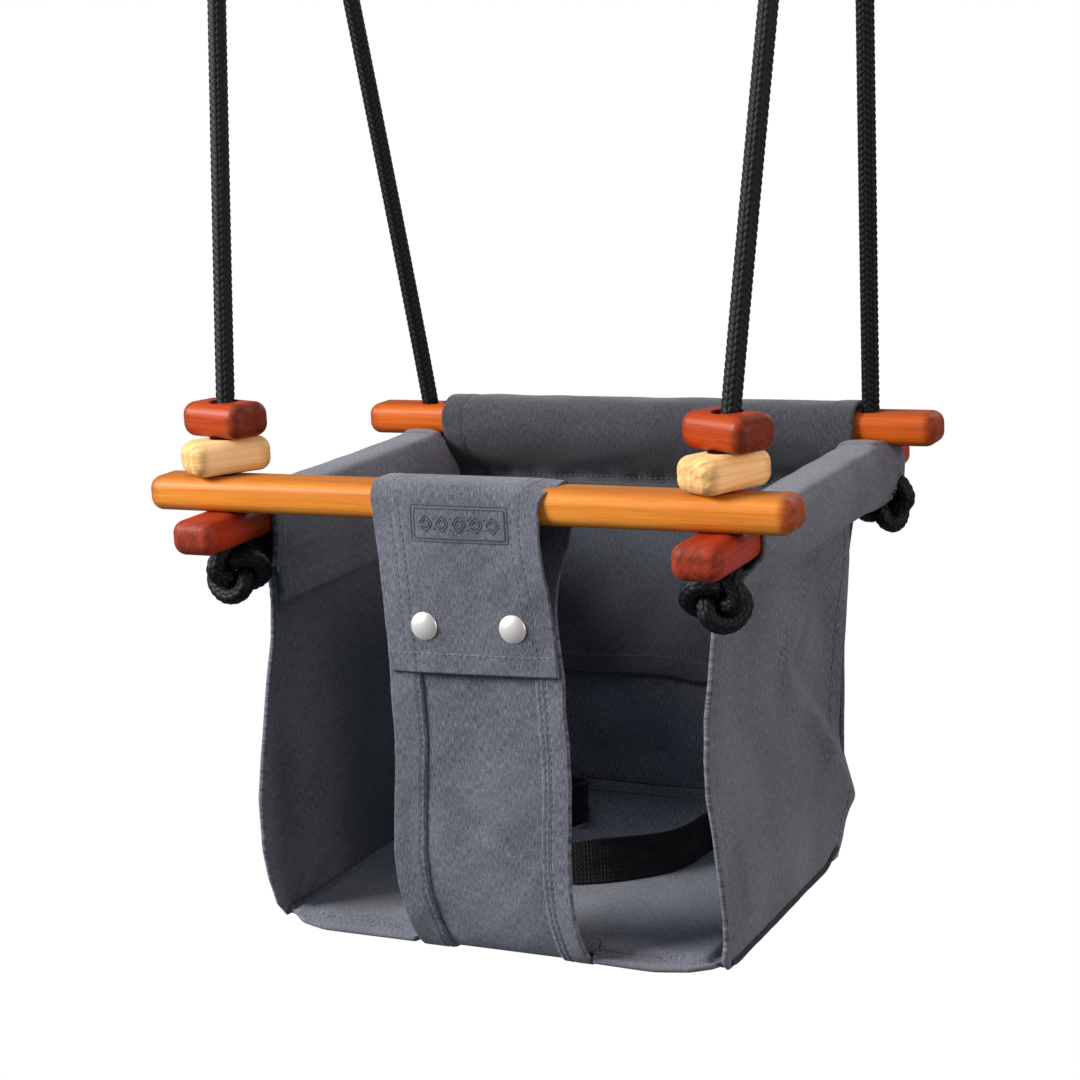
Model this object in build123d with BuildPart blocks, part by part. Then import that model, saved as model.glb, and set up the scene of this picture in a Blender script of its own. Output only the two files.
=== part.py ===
from build123d import *
import math
import os

# Toddler bucket swing: a canvas seat slung in a frame of four wooden rails,
# carried by a braided rope on each side that runs over a steel ring.
# Millimetres. +X to the sitter's left hand when seen from the front, +Y to the
# back of the seat, +Z up. The origin is the centre of the left ring's hole.

# ---- driving dimensions -------------------------------------------------
stock_w = 26.5          # width of the wooden stock
stock_h = 18.5          # height of the wooden stock
stock_r = 7.0           # rounding along the stock
end_r = 6.6             # rounding of a cut end
front_rail_len = 360.0  # front and back rails
side_rail_len = 310.0   # side rails
hole_x = 139.5          # rope holes, either side of the middle
hole_y_front = -117.3   # rope holes in the front rail
hole_y_back = 119.3     # rope holes in the back rail
rail_y = 119.3          # front and back rail centrelines
rope_d = 10.0           # braided rope
bore_r = 6.0            # rope hole
block_len = 44.0        # spacer block
block_gap = 0.3         # running gap over and under a block
ring_wire = 8.0         # welded ring, wire diameter
ring_mid = 24.0         # welded ring, centre of hole to centre of wire
ring_x = 176.2          # rings, either side of the middle
ring_y = 14.0           # rings, behind the middle of the frame
hang_h = 580.0          # wire that carries the rope, above the rails' centreline
wrap_r = 10.5           # rope centreline round the ring's wire
cloth = 2.0             # a hemmed canvas layer
base_z = -239.3         # underside of the seat
panel_x = 130.0         # outer face of the side panels
strap_x0, strap_x1 = -41.5, 55.0   # crotch strap, left and right edges
flap_x0, flap_x1 = -42.5, 52.5     # flap, left and right edges
snap_x = (-15.8, 33.9)  # snap fasteners
snap_z = -62.0
web_t, web_w = 1.6, 25.0  # belt webbing
knot_l, knot_w, knot_h = 37.0, 28.0, 30.5

os.makedirs("parts", exist_ok=True)

# ---- the middle of the four rails, seen from the left ring's hole --------
mid_x = ring_x
mid_y = -ring_y
mid_z = -(hang_h + ring_mid)


def at(x, y, z):
    """A point measured from the middle of the rails, in the row's frame."""
    return (mid_x + x, mid_y + y, mid_z + z)


def level(z):
    """Horizontal plane at a height above the rails' centreline."""
    return Plane(origin=at(0, 0, z))


def side_on(x):
    """Upright plane across X. Its own x is Y and its own y is Z."""
    return Plane(origin=at(x, 0, 0), x_dir=(0, 1, 0), z_dir=(1, 0, 0))


def face_on(y):
    """Upright plane across Y. Its own x is X and its own y is Z, normal to the front."""
    return Plane(origin=at(0, y, 0), x_dir=(1, 0, 0), z_dir=(0, -1, 0))


def ribbon(points, t):
    """Outline of a sheet of thickness t that follows a line of points."""
    n = len(points)
    left, right = [], []
    for i in range(n):
        ax, ay = points[max(i - 1, 0)]
        bx, by = points[min(i + 1, n - 1)]
        if 0 < i < n - 1:
            px, py = points[i]
            d1 = math.hypot(px - ax, py - ay)
            d2 = math.hypot(bx - px, by - py)
            u1 = ((px - ax) / d1, (py - ay) / d1)
            u2 = ((bx - px) / d2, (by - py) / d2)
            nx, ny = -(u1[1] + u2[1]), (u1[0] + u2[0])
            k = math.hypot(nx, ny)
            nx, ny = nx / k, ny / k
            s = t / 2 / max(0.5, nx * -u1[1] + ny * u1[0])
        else:
            d = math.hypot(bx - ax, by - ay)
            nx, ny = -(by - ay) / d, (bx - ax) / d
            s = t / 2
        px, py = points[i]
        left.append((px + nx * s, py + ny * s))
        right.append((px - nx * s, py - ny * s))
    return left + right[::-1]


sink = 2 * math.degrees(math.atan(1.6 / (stock_h / 2)))

# ---- wooden frame -------------------------------------------------------
with BuildPart() as front_rail:
    with BuildSketch(side_on(-front_rail_len / 2)):
        with Locations((-rail_y, 0)):
            RectangleRounded(stock_w, stock_h, stock_r)
    extrude(amount=front_rail_len)
    fillet(front_rail.faces().group_by(Axis.X)[0].edges(), end_r)
    fillet(front_rail.faces().group_by(Axis.X)[-1].edges(), end_r)
    for s in (-1, 1):
        with Locations(Plane(origin=at(s * hole_x, hole_y_front, stock_h / 2))):
            CounterSinkHole(bore_r, bore_r + 1.6, stock_h, sink)
front_rail.part.label = "front_rail"
export_step(front_rail.part, "parts/front_rail.step")

with BuildPart() as back_rail:
    with BuildSketch(side_on(-front_rail_len / 2)):
        with Locations((rail_y, 0)):
            RectangleRounded(stock_w, stock_h, stock_r)
    extrude(amount=front_rail_len)
    fillet(back_rail.faces().group_by(Axis.X)[0].edges(), end_r)
    fillet(back_rail.faces().group_by(Axis.X)[-1].edges(), end_r)
    for s in (-1, 1):
        with Locations(Plane(origin=at(s * hole_x, hole_y_back, stock_h / 2))):
            CounterSinkHole(bore_r, bore_r + 1.6, stock_h, sink)
back_rail.part.label = "back_rail"
export_step(back_rail.part, "parts/back_rail.step")

with BuildPart() as left_side_rail:
    with BuildSketch(face_on(side_rail_len / 2)):
        with Locations((-hole_x, -stock_h)):
            RectangleRounded(stock_w, stock_h, stock_r)
    extrude(amount=side_rail_len)
    fillet(left_side_rail.faces().group_by(Axis.Y)[0].edges(), end_r)
    fillet(left_side_rail.faces().group_by(Axis.Y)[-1].edges(), end_r)
    for y in (hole_y_front, hole_y_back):
        with Locations(Plane(origin=at(-hole_x, y, -stock_h / 2))):
            Hole(bore_r, stock_h)
left_side_rail.part.label = "left_side_rail"
export_step(left_side_rail.part, "parts/left_side_rail.step")

with BuildPart() as right_side_rail:
    with BuildSketch(face_on(side_rail_len / 2)):
        with Locations((hole_x, -stock_h)):
            RectangleRounded(stock_w, stock_h, stock_r)
    extrude(amount=side_rail_len)
    fillet(right_side_rail.faces().group_by(Axis.Y)[0].edges(), end_r)
    fillet(right_side_rail.faces().group_by(Axis.Y)[-1].edges(), end_r)
    for y in (hole_y_front, hole_y_back):
        with Locations(Plane(origin=at(hole_x, y, -stock_h / 2))):
            Hole(bore_r, stock_h)
right_side_rail.part.label = "right_side_rail"
export_step(right_side_rail.part, "parts/right_side_rail.step")

# ---- rope geometry --------------------------------------------------------
bend_z = 2.0            # the rope starts to lean inside the rail
knot_top = -stock_h * 1.5 - 0.35


def rope_route(s):
    f = math.atan2(ring_y - hole_y_front, hang_h - bend_z)
    f -= math.asin(wrap_r / math.hypot(ring_y - hole_y_front, hang_h - bend_z))
    b = math.atan2(hole_y_back - ring_y, hang_h - bend_z)
    b -= math.asin(wrap_r / math.hypot(hole_y_back - ring_y, hang_h - bend_z))
    a0, a1 = math.pi - f, b
    step = (a0 - a1) / 3
    out = wrap_r / math.cos(step / 2)
    turn = [
        (s * ring_x, ring_y + out * math.cos(a0 - step * (i + 0.5)), hang_h + out * math.sin(a0 - step * (i + 0.5)))
        for i in range(3)
    ]
    return (
        [(s * hole_x, hole_y_front, knot_top), (s * hole_x, hole_y_front, bend_z)]
        + turn
        + [(s * hole_x, hole_y_back, bend_z), (s * hole_x, hole_y_back, knot_top)]
    )


start, over = rope_route(1)[1:3]
lean_x = (over[0] - start[0]) / (over[2] - start[2])
lean_y = (over[1] - start[1]) / (over[2] - start[2])

# ---- spacer blocks: short lengths of the same stock, threaded on the front
# ropes, their holes flared so that the leaning rope passes -----------------
low_z = stock_h / 2 + block_gap + stock_h / 2
high_z = low_z + stock_h + block_gap
block_yaw = {
    "lower_left_spacer": (-1, low_z, 54.0),
    "upper_left_spacer": (-1, high_z, -16.0),
    "lower_right_spacer": (1, low_z, 64.0),
    "upper_right_spacer": (1, high_z, -26.0),
}


def block_centre(name):
    s, z, _ = block_yaw[name]
    return (s * (hole_x + lean_x * (z - bend_z)), hole_y_front + lean_y * (z - bend_z), z)


def block_plane(name):
    a = math.radians(block_yaw[name][2])
    return Plane(
        origin=at(*block_centre(name)), x_dir=(0, 0, 1), z_dir=(math.cos(a), math.sin(a), 0)
    )


def block_bore(name):
    """Half outline of the hole: narrow at mid height, flared to both faces."""
    x, y, z = block_centre(name)
    h = stock_h / 2 + 0.5
    return Plane(origin=at(x, y, z), x_dir=(1, 0, 0), z_dir=(0, -1, 0)), [
        (0, -h), (8.2, -h), (5.8, 0), (8.2, h), (0, h)
    ]


with BuildPart() as lower_left_spacer:
    with BuildSketch(block_plane("lower_left_spacer").offset(-block_len / 2)):
        RectangleRounded(stock_h, stock_w, stock_r)
    extrude(amount=block_len)
    fillet(lower_left_spacer.faces().filter_by(block_plane("lower_left_spacer")).edges(), end_r)
    with BuildSketch(block_bore("lower_left_spacer")[0]):
        with BuildLine():
            Polyline(*block_bore("lower_left_spacer")[1], close=True)
        make_face()
    revolve(axis=Axis(at(*block_centre("lower_left_spacer")), (0, 0, 1)), mode=Mode.SUBTRACT)
lower_left_spacer.part.label = "lower_left_spacer"
export_step(lower_left_spacer.part, "parts/lower_left_spacer.step")

with BuildPart() as upper_left_spacer:
    with BuildSketch(block_plane("upper_left_spacer").offset(-block_len / 2)):
        RectangleRounded(stock_h, stock_w, stock_r)
    extrude(amount=block_len)
    fillet(upper_left_spacer.faces().filter_by(block_plane("upper_left_spacer")).edges(), end_r)
    with BuildSketch(block_bore("upper_left_spacer")[0]):
        with BuildLine():
            Polyline(*block_bore("upper_left_spacer")[1], close=True)
        make_face()
    revolve(axis=Axis(at(*block_centre("upper_left_spacer")), (0, 0, 1)), mode=Mode.SUBTRACT)
upper_left_spacer.part.label = "upper_left_spacer"
export_step(upper_left_spacer.part, "parts/upper_left_spacer.step")

with BuildPart() as lower_right_spacer:
    with BuildSketch(block_plane("lower_right_spacer").offset(-block_len / 2)):
        RectangleRounded(stock_h, stock_w, stock_r)
    extrude(amount=block_len)
    fillet(lower_right_spacer.faces().filter_by(block_plane("lower_right_spacer")).edges(), end_r)
    with BuildSketch(block_bore("lower_right_spacer")[0]):
        with BuildLine():
            Polyline(*block_bore("lower_right_spacer")[1], close=True)
        make_face()
    revolve(axis=Axis(at(*block_centre("lower_right_spacer")), (0, 0, 1)), mode=Mode.SUBTRACT)
lower_right_spacer.part.label = "lower_right_spacer"
export_step(lower_right_spacer.part, "parts/lower_right_spacer.step")

with BuildPart() as upper_right_spacer:
    with BuildSketch(block_plane("upper_right_spacer").offset(-block_len / 2)):
        RectangleRounded(stock_h, stock_w, stock_r)
    extrude(amount=block_len)
    fillet(upper_right_spacer.faces().filter_by(block_plane("upper_right_spacer")).edges(), end_r)
    with BuildSketch(block_bore("upper_right_spacer")[0]):
        with BuildLine():
            Polyline(*block_bore("upper_right_spacer")[1], close=True)
        make_face()
    revolve(axis=Axis(at(*block_centre("upper_right_spacer")), (0, 0, 1)), mode=Mode.SUBTRACT)
upper_right_spacer.part.label = "upper_right_spacer"
export_step(upper_right_spacer.part, "parts/upper_right_spacer.step")

# ---- welded steel rings -----------------------------------------------------
with BuildPart() as left_hanging_ring:
    with BuildSketch(Plane.XY):
        with Locations((ring_mid, 0)):
            Circle(ring_wire / 2)
    revolve(axis=Axis.Y)
left_hanging_ring.part.label = "left_hanging_ring"
export_step(left_hanging_ring.part, "parts/left_hanging_ring.step")

with BuildPart() as right_hanging_ring:
    with BuildSketch(Plane(origin=(2 * ring_x, 0, 0))):
        with Locations((ring_mid, 0)):
            Circle(ring_wire / 2)
    revolve(axis=Axis((2 * ring_x, 0, 0), (0, 1, 0)))
right_hanging_ring.part.label = "right_hanging_ring"
export_step(right_hanging_ring.part, "parts/right_hanging_ring.step")

# ---- ropes: one a side, from the front knot up through the rails and blocks,
# over the ring's wire and down to the back knot --------------------------------
def arc_radii(pts):
    radii = []
    for a, b, c in zip(pts, pts[1:], pts[2:]):
        u, v = Vector(*b) - Vector(*a), Vector(*c) - Vector(*b)
        half = math.radians(u.get_angle(v)) / 2
        radii.append(0.45 * min(u.length, v.length) / math.tan(half))
    return radii


for side, s in (("left", -1), ("right", 1)):
    pts = rope_route(s)
    print(side, "rope points from the middle of the rails:", [tuple(round(c, 2) for c in p) for p in pts])
    print(side, "rope arc radii:", [round(r, 1) for r in arc_radii(pts)])

with BuildPart() as left_rope:
    with BuildLine() as left_line:
        FilletPolyline(*[at(*p) for p in rope_route(-1)], radius=arc_radii(rope_route(-1)))
    with BuildSketch(Plane(origin=left_line.line @ 0, z_dir=left_line.line % 0)):
        Circle(rope_d / 2)
    sweep()
left_rope.part.label = "left_rope"
export_step(left_rope.part, "parts/left_rope.step")
print("left rope length", left_line.wire().length, "volume over section x length", left_rope.part.volume / (math.pi * rope_d**2 / 4 * left_line.wire().length))

with BuildPart() as right_rope:
    with BuildLine() as right_line:
        FilletPolyline(*[at(*p) for p in rope_route(1)], radius=arc_radii(rope_route(1)))
    with BuildSketch(Plane(origin=right_line.line @ 0, z_dir=right_line.line % 0)):
        Circle(rope_d / 2)
    sweep()
right_rope.part.label = "right_rope"
export_step(right_rope.part, "parts/right_rope.step")
print("right rope length", right_line.wire().length, "volume over section x length", right_rope.part.volume / (math.pi * rope_d**2 / 4 * right_line.wire().length))

# ---- stopper knots under the side rails -----------------------------------------
with BuildPart() as front_left_knot:
    with BuildSketch(level(knot_top)):
        with Locations((-136.5, hole_y_front - 1)):
            RectangleRounded(knot_l, knot_w, 12)
    extrude(amount=-knot_h)
    fillet(front_left_knot.faces().sort_by(Axis.Z)[0].edges(), 9)
    fillet(front_left_knot.faces().sort_by(Axis.Z)[-1].edges(), 4)
front_left_knot.part.label = "front_left_knot"
export_step(front_left_knot.part, "parts/front_left_knot.step")

with BuildPart() as front_right_knot:
    with BuildSketch(level(knot_top)):
        with Locations((135.5, hole_y_front - 1)):
            RectangleRounded(knot_l, knot_w, 12)
    extrude(amount=-knot_h)
    fillet(front_right_knot.faces().sort_by(Axis.Z)[0].edges(), 9)
    fillet(front_right_knot.faces().sort_by(Axis.Z)[-1].edges(), 4)
front_right_knot.part.label = "front_right_knot"
export_step(front_right_knot.part, "parts/front_right_knot.step")

with BuildPart() as back_left_knot:
    with BuildSketch(level(knot_top)):
        with Locations((-147.5, hole_y_back)):
            RectangleRounded(knot_l, knot_w, 12)
    extrude(amount=-knot_h)
    fillet(back_left_knot.faces().sort_by(Axis.Z)[0].edges(), 9)
    fillet(back_left_knot.faces().sort_by(Axis.Z)[-1].edges(), 4)
back_left_knot.part.label = "back_left_knot"
export_step(back_left_knot.part, "parts/back_left_knot.step")

with BuildPart() as back_right_knot:
    with BuildSketch(level(knot_top)):
        with Locations((147.5, hole_y_back)):
            RectangleRounded(knot_l, knot_w, 12)
    extrude(amount=-knot_h)
    fillet(back_right_knot.faces().sort_by(Axis.Z)[0].edges(), 9)
    fillet(back_right_knot.faces().sort_by(Axis.Z)[-1].edges(), 4)
back_right_knot.part.label = "back_right_knot"
export_step(back_right_knot.part, "parts/back_right_knot.step")

# ---- seat base: a flat canvas pocket with a thin board in it -------------------
front_y, curl_r, back_y = -122.0, 26.0, 88.0
base_t = 5.6
with BuildPart() as seat_base:
    with BuildSketch(side_on(-128.0)):
        with BuildLine():
            l1 = Line((front_y, base_z), (back_y - curl_r, base_z))
            l2 = CenterArc((back_y - curl_r, base_z + curl_r), curl_r, -90, 90)
            l3 = Line((back_y, base_z + curl_r), (back_y - base_t, base_z + curl_r))
            l4 = CenterArc((back_y - curl_r, base_z + curl_r), curl_r - base_t, 0, -90)
            l5 = Line((back_y - curl_r, base_z + base_t), (front_y, base_z + base_t))
            l6 = Line((front_y, base_z + base_t), (front_y, base_z))
        make_face()
    extrude(amount=256.0)
    with BuildSketch(level(base_z - 1)):
        with BuildLine():
            Polyline(
                (-128.0, back_y + 1), (-128.0, -106.0), (-112.0, -118.5), (-96.0, -122.0),
                (-56.0, -122.0), (-43.5, -112.0), (57.0, -112.0), (69.0, -122.0), (96.0, -122.0),
                (114.0, -118.5), (124.0, -112.0), (128.0, -103.0), (128.0, back_y + 1),
                close=True,
            )
        make_face()
    extrude(amount=curl_r + 2, mode=Mode.INTERSECT)
    with BuildSketch(level(base_z + 1.0)):
        with Locations((0, -28)):
            RectangleRounded(236, 162, 12)
    extrude(amount=3.4, mode=Mode.SUBTRACT)
seat_base.part.label = "seat_base"
export_step(seat_base.part, "parts/seat_base.step")

with BuildPart() as seat_board:
    with BuildSketch(level(base_z + 1.2)):
        with Locations((0, -28)):
            RectangleRounded(234, 160, 11)
    extrude(amount=3.0)
seat_board.part.label = "seat_board"
export_step(seat_board.part, "parts/seat_board.step")

# ---- back panel, sewn into a sleeve round the back rail ---------------------------
back_line = [
    (119.5, -27.5), (119.4, -46), (110.5, -60), (102.6, -74), (96.6, -94), (91.6, -122),
    (88.0, -152), (86.8, -182), (86.8, base_z + curl_r + 0.1),
]


def rail_sleeve(grow):
    """Round the rail, then drawn in to the stitch line below it."""
    h = stock_h / 2 + grow
    w = stock_w / 2 + grow
    r = stock_r + grow
    q = r * (1 - math.sqrt(0.5))
    return h, w, r, q


with BuildPart() as back_panel:
    with BuildSketch(side_on(-123.5)):
        with BuildLine():
            h, w, r, q = rail_sleeve(0.5 + cloth)
            a = Line((rail_y - w, -6), (rail_y - w, h - r))
            b = ThreePointArc((rail_y - w, h - r), (rail_y - w + q, h - q), (rail_y - w + r, h))
            c = Line((rail_y - w + r, h), (rail_y + w - r, h))
            d = ThreePointArc((rail_y + w - r, h), (rail_y + w - q, h - q), (rail_y + w, h - r))
            e = Line((rail_y + w, h - r), (rail_y + w, -6))
            f = Line((rail_y + w, -6), (rail_y + 1.2, -29))
            g = Line((rail_y + 1.2, -29), (rail_y - 1.2, -29))
            k = Line((rail_y - 1.2, -29), (rail_y - w, -6))
        make_face()
        with BuildLine():
            h, w, r, q = rail_sleeve(0.5)
            a = Line((rail_y - w, -6), (rail_y - w, h - r))
            b = ThreePointArc((rail_y - w, h - r), (rail_y - w + q, h - q), (rail_y - w + r, h))
            c = Line((rail_y - w + r, h), (rail_y + w - r, h))
            d = ThreePointArc((rail_y + w - r, h), (rail_y + w - q, h - q), (rail_y + w, h - r))
            e = Line((rail_y + w, h - r), (rail_y + w, -6))
            f = Line((rail_y + w, -6), (rail_y + 4.0, -22.5))
            g = Line((rail_y + 4.0, -22.5), (rail_y - 4.0, -22.5))
            k = Line((rail_y - 4.0, -22.5), (rail_y - w, -6))
        make_face(mode=Mode.SUBTRACT)
    extrude(amount=257.0)
    with BuildSketch(side_on(125.5)):
        with Locations((rail_y, -24)):
            Rectangle(40, 31.0)
    extrude(amount=10, mode=Mode.SUBTRACT)
    with BuildSketch(side_on(-127.5)):
        with BuildLine():
            Polyline(*ribbon(back_line, cloth), close=True)
        make_face()
    extrude(amount=255.0)
back_panel.part.label = "back_panel"
export_step(back_panel.part, "parts/back_panel.step")

# facing that lines the upper half of the back, ending in a hem
facing_line = [(y - 2.25, z) for y, z in back_line[1:6]] + [(back_line[6][0] - 2.25, -149.0)]
with BuildPart() as back_facing:
    with BuildSketch(side_on(-122.0)):
        with BuildLine():
            Polyline(*ribbon(facing_line, 1.2), close=True)
        make_face()
    extrude(amount=246.0)
back_facing.part.label = "back_facing"
export_step(back_facing.part, "parts/back_facing.step")

# ---- side panels, sewn into sleeves round the side rails ----------------------------
sleeve_y0, sleeve_y1 = -100.0, 102.5
side_w = stock_w / 2 + 0.5
side_top = -stock_h / 2 + 0.4


def side_sleeve(s, inner):
    """Sleeve round a side rail, hanging to the stitch line, outer or inner outline."""
    g = cloth if not inner else 0.0
    w = side_w + g
    t = side_top + g
    if inner:
        low = [(hole_x - w + 1.8, -41.5), (hole_x + 2, -41.0), (hole_x + w - 3, -36.0)]
    else:
        low = [(hole_x - w + 1.2, -47.0), (hole_x - w + 5.5, -47.0), (hole_x + 4, -43.6), (hole_x + w - 2.6, -37.6)]
    pts = (
        [(hole_x - w, -16.0), (hole_x - w, t - 5.5), (hole_x - w + 1.8, t - 1.8), (hole_x - w + 5.5, t)]
        + [(hole_x + w - 5.5, t), (hole_x + w - 1.8, t - 1.8), (hole_x + w, t - 5.5), (hole_x + w, -31.0)]
        + low[::-1]
    )
    return [(s * x, z) for x, z in pts]


panel_right = [
    (101.5, -45.5), (101.5, -72), (95.5, -96), (91.5, -124), (87.4, -153), (86.8, -182), (87.0, -213),
    (81.5, -223), (75.0, -232), (66.0, -239.0), (-106.0, -239.0), (-111.0, -234), (-107.5, -226),
    (-107.5, -212), (-113.5, -189), (-119.0, -166), (-125.0, -144), (-127.0, -123), (-123.5, -103),
    (-115.0, -85), (-107.6, -67), (-101.5, -45.5),
]
panel_left = [
    (101.5, -45.5), (101.5, -72), (95.5, -96), (91.5, -124), (87.4, -153), (86.8, -182), (87.0, -213),
    (81.5, -223), (75.0, -232), (66.0, -239.0), (-107.0, -239.0), (-114.0, -231), (-120.0, -215),
    (-124.0, -196), (-123.0, -168), (-118.0, -147), (-108.5, -116), (-99.5, -85), (-96.5, -64), (-96.5, -45.5),
]

with BuildPart() as left_side_panel:
    with BuildSketch(face_on(sleeve_y1)):
        with BuildLine():
            Polyline(*side_sleeve(-1, False), close=True)
        make_face()
        with BuildLine():
            Polyline(*side_sleeve(-1, True), close=True)
        make_face(mode=Mode.SUBTRACT)
    extrude(amount=sleeve_y1 - sleeve_y0 - 2.0)
    with BuildSketch(face_on(125.0)):
        with Locations((-hole_x - (side_w + cloth / 2), -18.8)):
            Rectangle(cloth, 18.0)
    extrude(amount=23.0)
    with BuildSketch(side_on(-panel_x - 0.3)):
        with BuildLine():
            Polyline(*panel_left, close=True)
        make_face()
    extrude(amount=cloth)
left_side_panel.part.label = "left_side_panel"
export_step(left_side_panel.part, "parts/left_side_panel.step")

with BuildPart() as right_side_panel:
    with BuildSketch(face_on(sleeve_y1)):
        with BuildLine():
            Polyline(*side_sleeve(1, False), close=True)
        make_face()
        with BuildLine():
            Polyline(*side_sleeve(1, True), close=True)
        make_face(mode=Mode.SUBTRACT)
    extrude(amount=sleeve_y1 - sleeve_y0)
    with BuildSketch(face_on(125.0)):
        with Locations((hole_x + (side_w + cloth / 2), -18.8)):
            Rectangle(cloth, 18.0)
    extrude(amount=23.0)
    with BuildSketch(side_on(panel_x + 0.3 - cloth)):
        with BuildLine():
            Polyline(*panel_right, close=True)
        make_face()
    extrude(amount=cloth)
right_side_panel.part.label = "right_side_panel"
export_step(right_side_panel.part, "parts/right_side_panel.step")

# black tape that binds the seam between each side panel and the base
with BuildPart() as left_base_binding:
    with BuildSketch(level(base_z - 1.3)):
        with Locations((-126.5, -20.0)):
            RectangleRounded(9.0, 168.0, 1.2)
    extrude(amount=1.2)
left_base_binding.part.label = "left_base_binding"
export_step(left_base_binding.part, "parts/left_base_binding.step")

with BuildPart() as right_base_binding:
    with BuildSketch(level(base_z - 1.3)):
        with Locations((126.5, -20.0)):
            RectangleRounded(9.0, 168.0, 1.2)
    extrude(amount=1.2)
right_base_binding.part.label = "right_base_binding"
export_step(right_base_binding.part, "parts/right_base_binding.step")

# ---- crotch strap: up from under the front of the base, behind the front rail and over it ----
strap_line = [
    (-84.0, -240.65), (-112.5, -240.65), (-117.6, -238.4), (-122.4, -232.5), (-126.4, -222), (-129.4, -208),
    (-130.4, -190), (-130.6, -110), (-130.6, -55),
    (-127.0, -44), (-118.6, -32), (-108.6, -20), (-104.4, -8), (-104.4, 4), (-107.2, 9.6),
    (-112.5, 12.1), (-126.5, 12.3), (-132.4, 10.8), (-135.0, 8.0), (-135.0, 5.7),
]
flap_line = [(-135.0, 3.2), (-135.0, -24), (-134.6, -62), (-134.4, -87.0)]
hinge_y, hinge_z = -135.0, 3.4
with BuildPart() as crotch_strap:
    with BuildSketch(side_on(strap_x0)):
        with BuildLine():
            Polyline(*ribbon(strap_line, cloth), close=True)
        make_face()
    extrude(amount=strap_x1 - strap_x0)
    for x in snap_x:
        with Locations(Plane(origin=at(x, -131.6, snap_z), z_dir=(0, -1, 0))):
            Hole(1.6, cloth)
crotch_strap.part.label = "crotch_strap"
export_step(crotch_strap.part, "parts/crotch_strap.step")

with BuildPart() as strap_flap:
    with BuildSketch(side_on(flap_x0)):
        with BuildLine():
            Polyline(*ribbon(flap_line, cloth), close=True)
        make_face()
    extrude(amount=flap_x1 - flap_x0)
    for x in snap_x:
        with Locations(Plane(origin=at(x, -135.6, snap_z), z_dir=(0, -1, 0))):
            Hole(1.6, cloth)
strap_flap.part.label = "strap_flap"
export_step(strap_flap.part, "parts/strap_flap.step")

# ---- snap fasteners -------------------------------------------------------------------
# cap: a domed disc on the face of the flap with a barrel through the cloth
with BuildPart() as snap_caps:
    with BuildSketch(face_on(-135.7)):
        with Locations(*[(x, snap_z) for x in snap_x]):
            Circle(7.5)
    extrude(amount=3.0)
    fillet(snap_caps.edges().group_by(Axis.Y)[0], 2.4)
    with BuildSketch(face_on(-133.6)):
        with Locations(*[(x, snap_z) for x in snap_x]):
            Circle(1.5)
    extrude(amount=2.2)
snap_caps.part.label = "snap_caps"
export_step(snap_caps.part, "parts/snap_caps.step")

# socket: the ring behind the flap that the stud clicks into
with BuildPart() as snap_sockets:
    with BuildSketch(face_on(-132.4)):
        with Locations(*[(x, snap_z) for x in snap_x]):
            Circle(5.6)
            Circle(2.4, mode=Mode.SUBTRACT)
    extrude(amount=1.1)
snap_sockets.part.label = "snap_sockets"
export_step(snap_sockets.part, "parts/snap_sockets.step")

# stud: a plate and a nib on the face of the strap
with BuildPart() as snap_studs:
    with BuildSketch(face_on(-131.65)):
        with Locations(*[(x, snap_z) for x in snap_x]):
            Circle(5.2)
    extrude(amount=0.45)
    with BuildSketch(face_on(-132.0)):
        with Locations(*[(x, snap_z) for x in snap_x]):
            Circle(2.0)
    extrude(amount=1.0)
snap_studs.part.label = "snap_studs"
export_step(snap_studs.part, "parts/snap_studs.step")

# post: the closed disc and tube behind the strap that holds the stud
with BuildPart() as snap_posts:
    with BuildSketch(face_on(-128.5)):
        with Locations(*[(x, snap_z) for x in snap_x]):
            Circle(4.8)
    extrude(amount=0.95)
    with BuildSketch(face_on(-129.3)):
        with Locations(*[(x, snap_z) for x in snap_x]):
            Circle(1.5)
    extrude(amount=2.3)
snap_posts.part.label = "snap_posts"
export_step(snap_posts.part, "parts/snap_posts.step")

# ---- waist belt: two lengths of webbing on edge and a side-release buckle ---------------
web_z = base_z + base_t + 0.3
buckle_x, buckle_y = -20.0, -34.0
with BuildPart() as belt_right_webbing:
    with BuildSketch(level(web_z)):
        with BuildLine():
            Polyline(
                *ribbon(
                    [(-0.5, -34.0), (12, -32.5), (28, -25), (42, -12), (54, 2), (60, 16), (62, 30), (66, 44),
                     (76, 58), (92, 70), (108, 77), (125.5, 80.5)],
                    web_t,
                ),
                close=True,
            )
        make_face()
    extrude(amount=web_w)
    with BuildSketch(side_on(-130)):
        with BuildLine():
            u1 = Line((back_y - curl_r, base_z), (back_y - curl_r, base_z + base_t + 0.25))
            u2 = CenterArc((back_y - curl_r, base_z + curl_r), curl_r - base_t - 0.25, -90, 90)
            u3 = Polyline(u2 @ 1, (back_y - base_t - 0.25, base_z + 40), (back_y + 5, base_z + 40), (back_y + 5, base_z), (back_y - curl_r, base_z))
        make_face()
    extrude(amount=260, mode=Mode.SUBTRACT)
belt_right_webbing.part.label = "belt_right_webbing"
export_step(belt_right_webbing.part, "parts/belt_right_webbing.step")

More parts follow.
